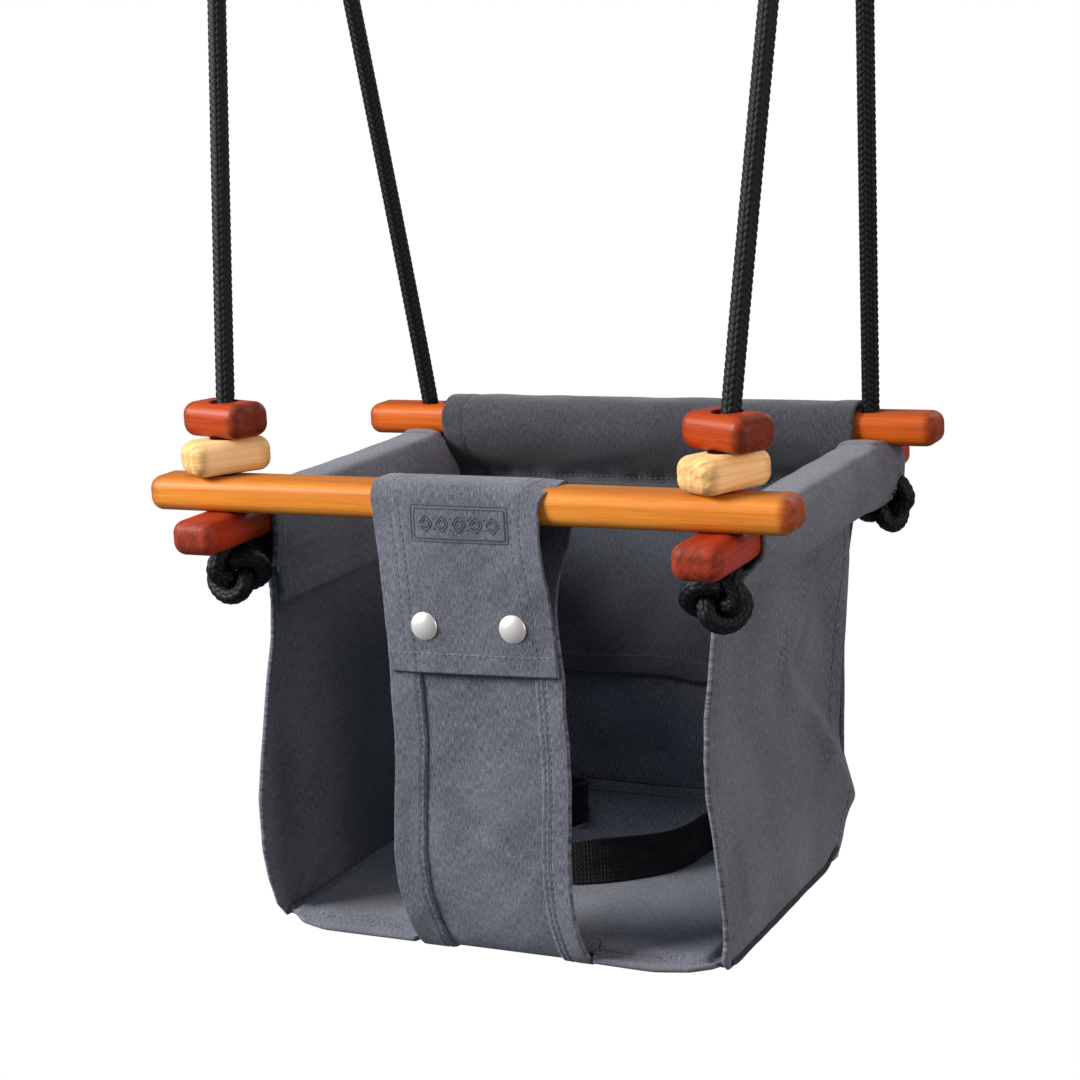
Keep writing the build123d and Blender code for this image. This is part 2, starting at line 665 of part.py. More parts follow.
with BuildPart() as belt_left_webbing:
    with BuildSketch(level(web_z)):
        with BuildLine():
            Polyline(
                *ribbon(
                    [(-54.3, -34.0), (-62, -30), (-68, -20), (-66, -6), (-58, 10), (-50, 26), (-40, 44),
                     (-34, 58), (-34, 68), (-40, 75), (-52, 78), (-74, 79.5), (-100, 80), (-125.5, 80.5)],
                    web_t,
                ),
                close=True,
            )
        make_face()
    extrude(amount=web_w)
    with BuildSketch(side_on(-130)):
        with BuildLine():
            u1 = Line((back_y - curl_r, base_z), (back_y - curl_r, base_z + base_t + 0.25))
            u2 = CenterArc((back_y - curl_r, base_z + curl_r), curl_r - base_t - 0.25, -90, 90)
            u3 = Polyline(u2 @ 1, (back_y - base_t - 0.25, base_z + 40), (back_y + 5, base_z + 40), (back_y + 5, base_z), (back_y - curl_r, base_z))
        make_face()
    extrude(amount=260, mode=Mode.SUBTRACT)
belt_left_webbing.part.label = "belt_left_webbing"
export_step(belt_left_webbing.part, "parts/belt_left_webbing.step")

with BuildPart() as belt_buckle_female:
    with BuildSketch(level(web_z)):
        with Locations((buckle_x + 2.0, buckle_y)):
            RectangleRounded(34.0, 9.6, 3.0)
    extrude(amount=32.0)
    fillet(belt_buckle_female.faces().sort_by(Axis.Z)[-1].edges(), 1.2)
    with BuildSketch(side_on(buckle_x - 15.0)):
        with Locations((buckle_y, web_z + 16.0)):
            Rectangle(5.6, 25.0)
    extrude(amount=27.0, mode=Mode.SUBTRACT)
    with BuildSketch(face_on(buckle_y + 5.0)):
        with Locations((buckle_x - 4.0, web_z + 16.0)):
            Rectangle(11.0, 9.0)
    extrude(amount=4.0, mode=Mode.SUBTRACT)
belt_buckle_female.part.label = "belt_buckle_female"
export_step(belt_buckle_female.part, "parts/belt_buckle_female.step")

with BuildPart() as belt_buckle_male:
    with BuildSketch(face_on(buckle_y + 4.8)):
        with Locations((buckle_x - 24.6, web_z + 16.0)):
            Rectangle(18.4, 32.0)
    extrude(amount=9.6)
    fillet(belt_buckle_male.edges().filter_by(Axis.Z), 2.0)
    with BuildSketch(face_on(buckle_y + 2.4)):
        with Locations((buckle_x - 16.0 + 11.0, web_z + 16.0)):
            Rectangle(24.0, 5.0)
        with Locations((buckle_x - 16.0 + 11.0, web_z + 16.0 + 9.8), (buckle_x - 16.0 + 11.0, web_z + 16.0 - 9.8)):
            Rectangle(24.0, 4.4)
    extrude(amount=4.8)
belt_buckle_male.part.label = "belt_buckle_male"
export_step(belt_buckle_male.part, "parts/belt_buckle_male.step")
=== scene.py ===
import math

import bpy
import numpy as np
from mathutils import Matrix, Vector


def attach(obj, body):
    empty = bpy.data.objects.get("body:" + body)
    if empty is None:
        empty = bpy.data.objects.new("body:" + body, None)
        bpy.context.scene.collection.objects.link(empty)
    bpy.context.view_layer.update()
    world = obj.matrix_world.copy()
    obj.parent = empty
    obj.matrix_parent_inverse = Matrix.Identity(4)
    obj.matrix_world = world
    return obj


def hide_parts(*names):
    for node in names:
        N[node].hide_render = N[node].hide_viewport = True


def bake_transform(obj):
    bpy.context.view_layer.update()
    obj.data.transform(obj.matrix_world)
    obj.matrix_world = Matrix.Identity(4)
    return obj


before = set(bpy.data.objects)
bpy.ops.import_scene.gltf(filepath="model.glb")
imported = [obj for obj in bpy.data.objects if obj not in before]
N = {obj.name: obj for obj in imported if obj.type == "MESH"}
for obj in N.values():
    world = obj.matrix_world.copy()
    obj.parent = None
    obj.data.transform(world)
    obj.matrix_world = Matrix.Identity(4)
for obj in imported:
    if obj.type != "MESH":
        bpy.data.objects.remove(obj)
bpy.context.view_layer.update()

# Millimetres about the middle of the four rails, +X to the viewer's right, +Y back, +Z up,
# turned into the row frame in metres.
SHIFT = np.array([176.2, -14.0, -604.0])


def P(*p):
    q = np.asarray(p[0] if len(p) == 1 else p, float)
    return (q + SHIFT) / 1000.0


def smooth(x, a, b):
    t = np.clip((np.asarray(x, float) - a) / (b - a), 0, 1)
    return t * t * (3 - 2 * t)


# ---------------------------------------------------------------- camera
cam_data = bpy.data.cameras.new("camera")
cam = bpy.data.objects.new("camera", cam_data)
bpy.context.scene.collection.objects.link(cam)
cam_data.sensor_width = 36.0
cam_data.sensor_fit = "HORIZONTAL"
cam_data.lens = 79.28
cam_data.clip_start, cam_data.clip_end = 0.05, 60.0
right = Vector((0.90331, 0.42567, -0.05316)).normalized()
forward = Vector((-0.42693, 0.87998, -0.20826)).normalized()
up = right.cross(forward).normalized()
m = Matrix((right, up, -forward)).transposed().to_4x4()
m.translation = Vector((0.723894, -1.172427, -0.376277))
cam.matrix_world = m
bpy.context.scene.camera = cam

# ---------------------------------------------------------------- node helpers


def material(name):
    mat = bpy.data.materials.new(name)
    mat.use_nodes = True
    nt = mat.node_tree
    nt.nodes.clear()
    out = nt.nodes.new("ShaderNodeOutputMaterial")
    bsdf = nt.nodes.new("ShaderNodeBsdfPrincipled")
    nt.links.new(bsdf.outputs["BSDF"], out.inputs["Surface"])
    return mat, nt, bsdf


def put(nt, socket, value):
    if isinstance(value, bpy.types.NodeSocket):
        nt.links.new(value, socket)
    else:
        socket.default_value = value


def maths(nt, op, a, b=0.0, c=0.0, clamp=False):
    n = nt.nodes.new("ShaderNodeMath")
    n.operation, n.use_clamp = op, clamp
    put(nt, n.inputs[0], a)
    put(nt, n.inputs[1], b)
    if len(n.inputs) > 2:
        put(nt, n.inputs[2], c)
    return n.outputs[0]


def ramp(nt, fac, stops):
    n = nt.nodes.new("ShaderNodeValToRGB")
    put(nt, n.inputs[0], fac)
    e = n.color_ramp.elements
    while len(e) < len(stops):
        e.new(0.5)
    for i, (pos, col) in enumerate(stops):
        e[i].position = pos
        e[i].color = (*col, 1.0)
    return n.outputs[0]


def mix(nt, fac, a, b, mode="MIX"):
    n = nt.nodes.new("ShaderNodeMix")
    n.data_type, n.blend_type = "RGBA", mode
    put(nt, n.inputs["Factor"], fac)
    for sock, v in ((n.inputs[6], a), (n.inputs[7], b)):
        put(nt, sock, v if isinstance(v, bpy.types.NodeSocket) else (*v, 1.0))
    return n.outputs[2]


def mapped(nt, vector, scale, loc=(0, 0, 0), rot=(0, 0, 0)):
    n = nt.nodes.new("ShaderNodeMapping")
    put(nt, n.inputs["Vector"], vector)
    n.inputs["Scale"].default_value = scale
    n.inputs["Location"].default_value = loc
    n.inputs["Rotation"].default_value = rot
    return n.outputs[0]


def noise(nt, vector, scale=1.0, detail=2.0, rough=0.5, distort=0.0):
    n = nt.nodes.new("ShaderNodeTexNoise")
    put(nt, n.inputs["Vector"], vector)
    n.inputs["Scale"].default_value = scale
    n.inputs["Detail"].default_value = detail
    n.inputs["Roughness"].default_value = rough
    n.inputs["Distortion"].default_value = distort
    return n.outputs["Fac"]


def bump(nt, height, distance, strength=1.0, normal=None):
    n = nt.nodes.new("ShaderNodeBump")
    n.inputs["Strength"].default_value = strength
    n.inputs["Distance"].default_value = distance
    put(nt, n.inputs["Height"], height)
    if normal is not None:
        put(nt, n.inputs["Normal"], normal)
    return n.outputs[0]


def coords(nt, kind="Object"):
    return nt.nodes.new("ShaderNodeTexCoord").outputs[kind]


def split(nt, vector):
    n = nt.nodes.new("ShaderNodeSeparateXYZ")
    put(nt, n.inputs[0], vector)
    return n.outputs


# ---------------------------------------------------------------- materials
def canvas_material(name, dark, light, blue, painted_shade_tones=None):
    mat, nt, b = material(name)
    uv = coords(nt, "UV")
    streak = noise(nt, mapped(nt, uv, (2100, 250, 1)), 1.0, 3.0, 0.66)
    cross = noise(nt, mapped(nt, uv, (380, 2300, 1), (3, 7, 0)), 1.0, 2.0, 0.55)
    cloud = noise(nt, mapped(nt, uv, (22, 14, 1), (5, 2, 0)), 1.0, 3.0, 0.5)
    fleck = noise(nt, mapped(nt, uv, (900, 300, 1), (9, 1, 0)), 1.0, 1.0, 0.5)
    tone = maths(nt, "MULTIPLY_ADD", streak, 1.15, maths(nt, "MULTIPLY_ADD", cross, 0.45, maths(nt, "MULTIPLY_ADD", cloud, 0.35, -0.52)))
    col = ramp(nt, tone, [(0.22, dark), (0.78, light)])
    col = mix(nt, maths(nt, "MULTIPLY", cloud, 0.45), col, blue, "SOFT_LIGHT")
    pale = maths(nt, "MULTIPLY", maths(nt, "SUBTRACT", fleck, 0.60, clamp=True), 1.1, clamp=True)
    col = mix(nt, pale, col, tuple(min(1, c * 1.9) for c in light))
    u, v, _ = split(nt, uv)
    # Painted shade: the optional factor table darkens the base colour down the cloth (V) where shade falls on the back
    # sleeve and panel.
    if painted_shade_tones is not None:
        along_v = maths(nt, "MULTIPLY_ADD", v, 1 / 0.32, -0.9 / 0.32)
        col = mix(nt, 1.0, col, ramp(nt, along_v, [(q, (k, k, k)) for q, k in painted_shade_tones]), "MULTIPLY")
    put(nt, b.inputs["Base Color"], col)
    warp = maths(nt, "SINE", maths(nt, "MULTIPLY", u, 2 * math.pi / 0.00075))
    weft = maths(nt, "SINE", maths(nt, "MULTIPLY", v, 2 * math.pi / 0.00085))
    weave = maths(nt, "MULTIPLY", warp, weft)
    height = maths(nt, "MULTIPLY_ADD", weave, 0.30, maths(nt, "MULTIPLY_ADD", streak, 0.9, maths(nt, "MULTIPLY", cross, 0.8)))
    put(nt, b.inputs["Normal"], bump(nt, height, 0.00022, 0.75))
    put(nt, b.inputs["Roughness"], maths(nt, "MULTIPLY_ADD", streak, 0.12, 0.80))
    b.inputs["Specular IOR Level"].default_value = 0.22
    b.inputs["Sheen Weight"].default_value = 0.18
    b.inputs["Sheen Roughness"].default_value = 0.5
    return mat


CANVAS = canvas_material("grey_canvas_cloth", (0.026, 0.030, 0.044), (0.212, 0.217, 0.244), (0.43, 0.48, 0.62))
# Painted shade: a shaded copy of the grey canvas for the back panel, a little darker overall and darkest on the front
# of the sleeve down to the seam.
CANVAS_PAINTED_SHADE = canvas_material("grey_canvas_back_painted_shade", (0.026, 0.030, 0.044), (0.212, 0.217, 0.244), (0.43, 0.48, 0.62),
                         [(0.0, 0.85), (0.14, 0.85), (0.203, 0.42), (0.266, 0.36), (0.369, 0.19), (0.42, 0.85), (1.0, 0.90)])
# Painted shade: a darker copy of the grey canvas for the facing inside the back panel.
FACING_PAINTED_SHADE = canvas_material("grey_canvas_facing_painted_shade", (0.018, 0.020, 0.027), (0.072, 0.074, 0.086), (0.43, 0.48, 0.62))


def thread_material(name, colour):
    mat, nt, b = material(name)
    o = coords(nt)
    n = noise(nt, mapped(nt, o, (2600, 2600, 2600)), 1.0, 2.0, 0.5)
    put(nt, b.inputs["Base Color"], mix(nt, n, tuple(c * 0.7 for c in colour), tuple(c * 1.3 for c in colour)))
    put(nt, b.inputs["Normal"], bump(nt, n, 0.0001, 0.6))
    put(nt, b.inputs["Roughness"], maths(nt, "MULTIPLY_ADD", n, 0.2, 0.5))
    b.inputs["Sheen Weight"].default_value = 0.2
    return mat


THREAD = thread_material("grey_thread", (0.112, 0.116, 0.134))
# Painted shade: a darker copy of the grey thread for the seams on the shaded back panel and facing.
THREAD_PAINTED_SHADE = thread_material("grey_thread_painted_shade", (0.046, 0.049, 0.058))
EMB = thread_material("blue_grey_thread", (0.070, 0.077, 0.112))


def webbing_material(name):
    mat, nt, b = material(name)
    uv = coords(nt, "UV")
    u, v, _ = split(nt, uv)
    ribs = maths(nt, "SINE", maths(nt, "MULTIPLY", v, 2 * math.pi / 0.0018))
    cols = maths(nt, "SINE", maths(nt, "MULTIPLY", u, 2 * math.pi / 0.0026))
    herring = maths(nt, "SINE", maths(nt, "ADD", maths(nt, "MULTIPLY", v, 2 * math.pi / 0.0022), maths(nt, "MULTIPLY", cols, 1.6)))
    fuzz = noise(nt, mapped(nt, uv, (1500, 600, 1)), 1.0, 3.0, 0.6)
    h = maths(nt, "MULTIPLY_ADD", herring, 0.4, maths(nt, "MULTIPLY_ADD", ribs, 0.2, fuzz))
    put(nt, b.inputs["Base Color"], ramp(nt, maths(nt, "MULTIPLY_ADD", h, 0.4, 0.25), [(0.0, (0.0012, 0.0013, 0.0018)), (1.0, (0.0062, 0.0066, 0.0086))]))
    put(nt, b.inputs["Normal"], bump(nt, h, 0.0004, 0.8))
    put(nt, b.inputs["Roughness"], maths(nt, "MULTIPLY_ADD", fuzz, 0.2, 0.55))
    b.inputs["Specular IOR Level"].default_value = 0.3
    b.inputs["Sheen Weight"].default_value = 0.12
    return mat


WEB = webbing_material("black_webbing_tape")


def rope_material():
    mat, nt, b = material("black_braid")
    # Painted shade: the base colour is darker where the braid's relief height (the weave attribute) is low, in the
    # grooves between the strands.
    a = nt.nodes.new("ShaderNodeAttribute")
    a.attribute_name = "weave"
    w = a.outputs["Fac"]
    uv = coords(nt, "UV")
    fib = noise(nt, mapped(nt, uv, (2400, 900, 1)), 1.0, 3.0, 0.6)
    col = ramp(nt, maths(nt, "MULTIPLY_ADD", fib, 0.35, maths(nt, "MULTIPLY", w, 0.8)), [(0.15, (0.0006, 0.0007, 0.0010)), (0.62, (0.0024, 0.0028, 0.0042)), (1.0, (0.0072, 0.0082, 0.0118))])
    put(nt, b.inputs["Base Color"], col)
    put(nt, b.inputs["Normal"], bump(nt, fib, 0.0003, 0.6))
    put(nt, b.inputs["Roughness"], maths(nt, "MULTIPLY_ADD", fib, 0.25, 0.40))
    b.inputs["Specular IOR Level"].default_value = 0.19
    b.inputs["Sheen Weight"].default_value = 0.0
    b.inputs["Sheen Roughness"].default_value = 0.4
    return mat


ROPE = rope_material()


def wood_material(name, low, mid, high, end, centre, half, yaw=0.0, rings=0.0, along="X", seed=0.0, rough=0.40, coat=0.03, stain_and_shade_pool=0.0):
    """Varnished round-edged stock. centre is the stock's middle in metres, half its half length; yaw turns the grain."""
    mat, nt, b = material(name)
    o = coords(nt)
    shift = nt.nodes.new("ShaderNodeVectorMath")
    shift.operation = "SUBTRACT"
    put(nt, shift.inputs[0], o)
    shift.inputs[1].default_value = centre
    local = mapped(nt, shift.outputs[0], (1, 1, 1), rot=(0, 0, -yaw if along == "X" else -yaw - math.pi / 2))
    x, y, z = split(nt, local)
    grain = noise(nt, mapped(nt, local, (22, 620, 620), (seed, seed * 2, seed)), 1.0, 4.0, 0.6, 0.4)
    broad = noise(nt, mapped(nt, local, (7, 105, 105), (seed * 3, seed, 1)), 1.0, 3.0, 0.55, 0.9)
    pores = noise(nt, mapped(nt, local, (70, 1900, 1900), (seed, 4, seed)), 1.0, 2.0, 0.6)
    cloud = noise(nt, mapped(nt, local, (28, 38, 38), (seed, seed, 2)), 1.0, 2.0, 0.5)
    # Growth rings: arcs about a heart off to one side of the stock.
    warp = maths(nt, "MULTIPLY", maths(nt, "SUBTRACT", broad, 0.5), 0.010)
    yy = maths(nt, "ADD", maths(nt, "ADD", y, 0.017 + seed * 0.003), warp)
    zz = maths(nt, "ADD", maths(nt, "ADD", z, 0.026), maths(nt, "MULTIPLY", warp, 0.6))
    rad = maths(nt, "SQRT", maths(nt, "ADD", maths(nt, "MULTIPLY", yy, yy), maths(nt, "MULTIPLY", zz, zz)))
    ring = maths(nt, "FRACT", maths(nt, "MULTIPLY", rad, 1 / 0.0033))
    late = maths(nt, "POWER", ring, 3.0)
    tone = maths(nt, "MULTIPLY_ADD", grain, 0.34, maths(nt, "MULTIPLY_ADD", broad, 0.55, maths(nt, "MULTIPLY_ADD", late, -rings, 0.09)))
    col = ramp(nt, tone, [(0.20, low), (0.52, mid), (0.86, high)])
    dark = maths(nt, "MULTIPLY", maths(nt, "SUBTRACT", 0.42, pores, clamp=True), 0.9, clamp=True)
    col = mix(nt, dark, col, tuple(c * 0.45 for c in low))
    col = mix(nt, maths(nt, "MULTIPLY", cloud, 0.35), col, mid, "MULTIPLY")
    # Stain pools along the rounded edges, and painted shade darkens them too.
    edge = maths(nt, "MULTIPLY", maths(nt, "SUBTRACT", maths(nt, "ABSOLUTE", z), 0.0060, clamp=True), 1 / 0.0030, clamp=True)
    col = mix(nt, maths(nt, "MULTIPLY", edge, stain_and_shade_pool), col, tuple(c * 0.6 for c in low))
    # End grain takes more stain.
    far = maths(nt, "ABSOLUTE", x)
    rim = maths(nt, "MULTIPLY_ADD", maths(nt, "SUBTRACT", far, half - 0.0085), 1 / 0.0065, maths(nt, "MULTIPLY", maths(nt, "SUBTRACT", cloud, 0.5), 0.9), clamp=True)
    patch = noise(nt, mapped(nt, local, (160, 190, 190), (seed, 2, seed)), 1.0, 3.0, 0.6)
    endc = mix(nt, maths(nt, "MULTIPLY_ADD", patch, 1.8, maths(nt, "MULTIPLY_ADD", late, -0.35, -0.45), clamp=True), tuple(c * 0.42 for c in end), tuple(min(1.0, c * 1.25) for c in end))
    col = mix(nt, maths(nt, "MULTIPLY", rim, 0.92), col, endc)
    put(nt, b.inputs["Base Color"], col)
    h = maths(nt, "MULTIPLY_ADD", grain, 0.6, maths(nt, "MULTIPLY_ADD", pores, 0.5, maths(nt, "MULTIPLY", late, 0.35)))
    put(nt, b.inputs["Normal"], bump(nt, h, 0.00010, 0.7))
    put(nt, b.inputs["Roughness"], maths(nt, "MULTIPLY_ADD", grain, 0.16, maths(nt, "MULTIPLY_ADD", rim, 0.12, rough)))
    b.inputs["Specular IOR Level"].default_value = 0.22
    b.inputs["Coat Weight"].default_value = coat
    b.inputs["Coat Roughness"].default_value = 0.22
    return mat


def metal_material(name, colour, rough, scratch, metal=1.0):
    mat, nt, b = material(name)
    o = coords(nt)
    n = noise(nt, mapped(nt, o, (900, 900, 900)), 1.0, 4.0, 0.6)
    s = noise(nt, mapped(nt, o, (180, 2600, 400)), 1.0, 2.0, 0.5)
    c = noise(nt, mapped(nt, o, (90, 90, 90)), 1.0, 3.0, 0.6)
    put(nt, b.inputs["Base Color"], mix(nt, maths(nt, "MULTIPLY", c, 0.6), colour, tuple(x * 0.72 for x in colour)))
    put(nt, b.inputs["Roughness"], maths(nt, "MULTIPLY_ADD", s, scratch, maths(nt, "MULTIPLY_ADD", c, 0.10, rough)))
    put(nt, b.inputs["Normal"], bump(nt, n, 0.00006, 0.35))
    b.inputs["Metallic"].default_value = metal
    return mat


NICKEL = metal_material("nickel_plate", (0.84, 0.80, 0.755), 0.26, 0.12, 0.55)
STEEL = metal_material("galvanised_wire", (0.56, 0.57, 0.58), 0.38, 0.22)


def plastic_material():
    mat, nt, b = material("moulded_plastic")
    o = coords(nt)
    n = noise(nt, mapped(nt, o, (2200, 2200, 2200)), 1.0, 2.0, 0.5)
    c = noise(nt, mapped(nt, o, (120, 120, 120)), 1.0, 2.0, 0.5)
    put(nt, b.inputs["Base Color"], mix(nt, c, (0.010, 0.010, 0.011), (0.020, 0.020, 0.022)))
    put(nt, b.inputs["Normal"], bump(nt, n, 0.00008, 0.5))
    put(nt, b.inputs["Roughness"], maths(nt, "MULTIPLY_ADD", c, 0.12, 0.38))
    return mat


PLASTIC = plastic_material()


def board_material():
    mat, nt, b = material("hardboard")
    o = coords(nt)
    n = noise(nt, mapped(nt, o, (500, 500, 900)), 1.0, 4.0, 0.6)
    put(nt, b.inputs["Base Color"], ramp(nt, n, [(0.3, (0.10, 0.055, 0.028)), (0.7, (0.21, 0.125, 0.070))]))
    put(nt, b.inputs["Normal"], bump(nt, n, 0.0002, 0.5))
    put(nt, b.inputs["Roughness"], maths(nt, "MULTIPLY_ADD", n, 0.2, 0.62))
    return mat


BOARD = board_material()


def dress(node, mat):
    o = N[node]
    o.data.materials.clear()
    o.data.materials.append(mat)


HONEY = ((0.41, 0.106, 0.010), (0.66, 0.236, 0.024), (0.80, 0.365, 0.056), (0.33, 0.056, 0.010))
DEEP = ((0.31, 0.043, 0.002), (0.53, 0.098, 0.004), (0.66, 0.168, 0.009), (0.28, 0.036, 0.004))
RED = ((0.160, 0.013, 0.003), (0.360, 0.036, 0.007), (0.520, 0.082, 0.016), (0.310, 0.030, 0.008))
RUST = ((0.190, 0.016, 0.001), (0.360, 0.040, 0.0015), (0.500, 0.080, 0.004), (0.190, 0.024, 0.004))
PALE = ((0.84, 0.500, 0.210), (0.97, 0.670, 0.320), (0.98, 0.780, 0.460), (0.88, 0.470, 0.180))
dress("front_rail", wood_material("honey_front", *HONEY, centre=tuple(P(0, -119.3, 0)), half=0.180, rings=0.10, seed=1.0, stain_and_shade_pool=0.46))
dress("back_rail", wood_material("honey_back", *DEEP, centre=tuple(P(0, 119.3, 0)), half=0.180, rings=0.10, seed=2.0, stain_and_shade_pool=0.40))
dress("left_side_rail", wood_material("red_left", *RED, centre=tuple(P(-139.5, 0, -18.5)), half=0.155, along="Y", rings=0.08, seed=3.0))
dress("right_side_rail", wood_material("red_right", *RED, centre=tuple(P(139.5, 0, -18.5)), half=0.155, along="Y", rings=0.08, seed=4.0))


def block(node, cols, s, z, yaw, rings, seed, high_):
    c = (s * (139.5 + 0.0627 * (z - 2)), -117.3 + 0.2086 * (z - 2), z)
    dress(node, wood_material(node + "_wood", *cols, centre=tuple(P(c)), half=0.022, yaw=math.radians(yaw), rings=rings, seed=seed, rough=high_))


block("lower_left_spacer", PALE, -1, 18.8, 54, 0.26, 1.5, 0.36)
block("lower_right_spacer", PALE, 1, 18.8, 64, 0.26, 2.5, 0.36)
block("upper_left_spacer", RUST, -1, 37.6, -16, 0.10, 3.5, 0.33)
block("upper_right_spacer", RUST, 1, 37.6, -26, 0.10, 4.5, 0.33)
for node in ("left_hanging_ring", "right_hanging_ring"):
    dress(node, STEEL)
for node in ("snap_sockets", "snap_studs", "snap_posts"):
    dress(node, NICKEL)
for node in ("belt_buckle_female", "belt_buckle_male"):
    dress(node, PLASTIC)
dress("seat_board", BOARD)

# ---------------------------------------------------------------- mesh helpers


def mesh(name, verts, faces, mat, uv=None, attr=None, body="seat", metres=False, smooth_=True):
    v = np.asarray(verts, float)
    if not metres:
        v = P(v)
    me = bpy.data.meshes.new(name)
    faces = np.asarray(faces)
    me.from_pydata(v.tolist(), [], faces.tolist())
    if uv is not None:
        layer = me.uv_layers.new(name="UVMap")
        loops = np.zeros(len(me.loops), np.int32)
        me.loops.foreach_get("vertex_index", loops)
        layer.data.foreach_set("uv", np.asarray(uv, np.float32)[loops].ravel())
    if attr is not None:
        a = me.attributes.new("weave", "FLOAT", "POINT")
        a.data.foreach_set("value", np.asarray(attr, np.float32))
    if smooth_:
        me.polygons.foreach_set("use_smooth", np.ones(len(me.polygons), bool))
    me.materials.append(mat)
    me.validate()
    me.update()
    o = bpy.data.objects.new(name, me)
    bpy.context.scene.collection.objects.link(o)
    if body:
        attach(o, body)
    return o


def grid_faces(nv, nu, base=0, flip=False):
    i, j = np.meshgrid(np.arange(nv - 1), np.arange(nu - 1), indexing="ij")
    a = (i * nu + j).ravel() + base
    q = np.stack([a, a + 1, a + 1 + nu, a + nu], 1)
    return q[:, ::-1] if flip else q


def shell_arrays(mid, uv, th, round_=0.30):
    """A closed cloth of the thickness th (mm) about the grid mid (nv, nu, 3)."""
    nv, nu = mid.shape[:2]
    du, dv = np.gradient(mid, axis=1), np.gradient(mid, axis=0)
    n = np.cross(du, dv)
    n /= np.linalg.norm(n, axis=2, keepdims=True) + 1e-12
    th = np.broadcast_to(np.asarray(th, float), (nv, nu))[..., None]
    f, k = mid + n * th / 2, mid - n * th / 2
    idx = np.arange(nv * nu).reshape(nv, nu)
    loop = np.concatenate([idx[0, :-1], idx[:-1, -1], idx[-1, :0:-1], idx[:0:-1, 0]])
    ring = []
    for q in loop:
        r, c = divmod(int(q), nu)
        out = np.zeros(3)
        if r == 0:
            out -= dv[r, c] / (np.linalg.norm(dv[r, c]) + 1e-9)
        if r == nv - 1:
            out += dv[r, c] / (np.linalg.norm(dv[r, c]) + 1e-9)
        if c == 0:
            out -= du[r, c] / (np.linalg.norm(du[r, c]) + 1e-9)
        if c == nu - 1:
            out += du[r, c] / (np.linalg.norm(du[r, c]) + 1e-9)
        ring.append(mid[r, c] + out * float(th[r, c, 0]) * round_)
    ring = np.array(ring)
    verts = np.concatenate([f.reshape(-1, 3), k.reshape(-1, 3), ring])
    uvs = np.concatenate([uv.reshape(-1, 2), uv.reshape(-1, 2), uv.reshape(-1, 2)[loop]])
    nn = nv * nu
    faces = [grid_faces(nv, nu), grid_faces(nv, nu, nn, True)]
    L = len(loop)
    a, b2 = loop, np.roll(loop, -1)
    r0, r1 = np.arange(L) + 2 * nn, (np.arange(L) + 1) % L + 2 * nn
    faces.append(np.stack([b2, a, r0, r1], 1))
    faces.append(np.stack([r1, r0, a + nn, b2 + nn], 1))
    return verts, np.concatenate(faces), uvs, n, f


def along(line, s):
    """Points at the distances s down a polyline rounded a little, and its length."""
    line = np.asarray(line, float)
    for _ in range(2):
        q = line[:-1] * 0.75 + line[1:] * 0.25
        r = line[:-1] * 0.25 + line[1:] * 0.75
        line = np.concatenate([line[:1], np.stack([q, r], 1).reshape(-1, line.shape[1])[1:-1], line[-1:]])
    d = np.concatenate([[0], np.cumsum(np.linalg.norm(np.diff(line, axis=0), axis=1))])
    if s is None:
        return d[-1]
    return np.stack([np.interp(s, d, line[:, k]) for k in range(line.shape[1])], 1)


def wob(a, b, seed):
    """A smooth, low, seeded ripple between -1 and 1."""
    r = np.random.default_rng(seed)
    out = 0
    for k in range(6):
        f1, f2 = r.uniform(0.6, 3.2, 2) * (1 + 0.35 * k)
        p1, p2 = r.uniform(0, 6.28, 2)
        out = out + np.sin(a * f1 * 6.28 + p1) * np.sin(b * f2 * 6.28 + p2) / (1 + 0.5 * k)
    return out / 2.2


STITCHES = {}


def stitch(points, normals, body, key, length=2.7, gap=0.8, width=0.62, lift=0.12):
    """Thread laid down a line of points (mm), one capsule a stitch."""
    pts, nor = np.asarray(points, float), np.asarray(normals, float)
    d = np.concatenate([[0], np.cumsum(np.linalg.norm(np.diff(pts, axis=0), axis=1))])
    starts = np.arange(gap / 2, d[-1] - length, length + gap)
    at = lambda s, arr: np.stack([np.interp(s, d, arr[:, k]) for k in range(3)], 1)
    a, b = at(starts, pts), at(starts + length, pts)
    n = at(starts + length / 2, nor)
    n /= np.linalg.norm(n, axis=1, keepdims=True)
    t = (b - a) / np.linalg.norm(b - a, axis=1, keepdims=True)
    side = np.cross(n, t)
    rows, rings, k = [], [(0.0, 0.02, -0.25), (0.10, 0.62, -0.05), (0.32, 1.0, 0.08), (0.68, 1.0, 0.08), (0.90, 0.62, -0.05), (1.0, 0.02, -0.25)], 6
    for f, w, h in rings:
        c = a + (b - a) * f + n * (lift + h * width)
        for j in range(k):
            ang = 2 * math.pi * j / k
            rows.append(c + side * (math.cos(ang) * width / 2 * w) + n * (math.sin(ang) * width / 2 * w))
    v = np.stack(rows, 1).reshape(-1, 3)
    per = len(rings) * k
    one = [[r * k + j, r * k + (j + 1) % k, (r + 1) * k + (j + 1) % k, (r + 1) * k + j] for r in range(len(rings) - 1) for j in range(k)]
    f = (np.array(one)[None] + (np.arange(len(starts)) * per)[:, None, None]).reshape(-1, 4)
    STITCHES.setdefault((body, key), []).append((v, f))


def sew(face, normals, iu=None, iv=None, body="seat", key="seams", u0=0, u1=None, **kw):
    """A stitch line down a column (iu) or along a row (iv) of a cloth's face."""
    if iu is not None:
        sl = (slice(u0, u1), iu)
    else:
        sl = (iv, slice(u0, u1))
    stitch(face[sl], normals[sl], body, key, **kw)


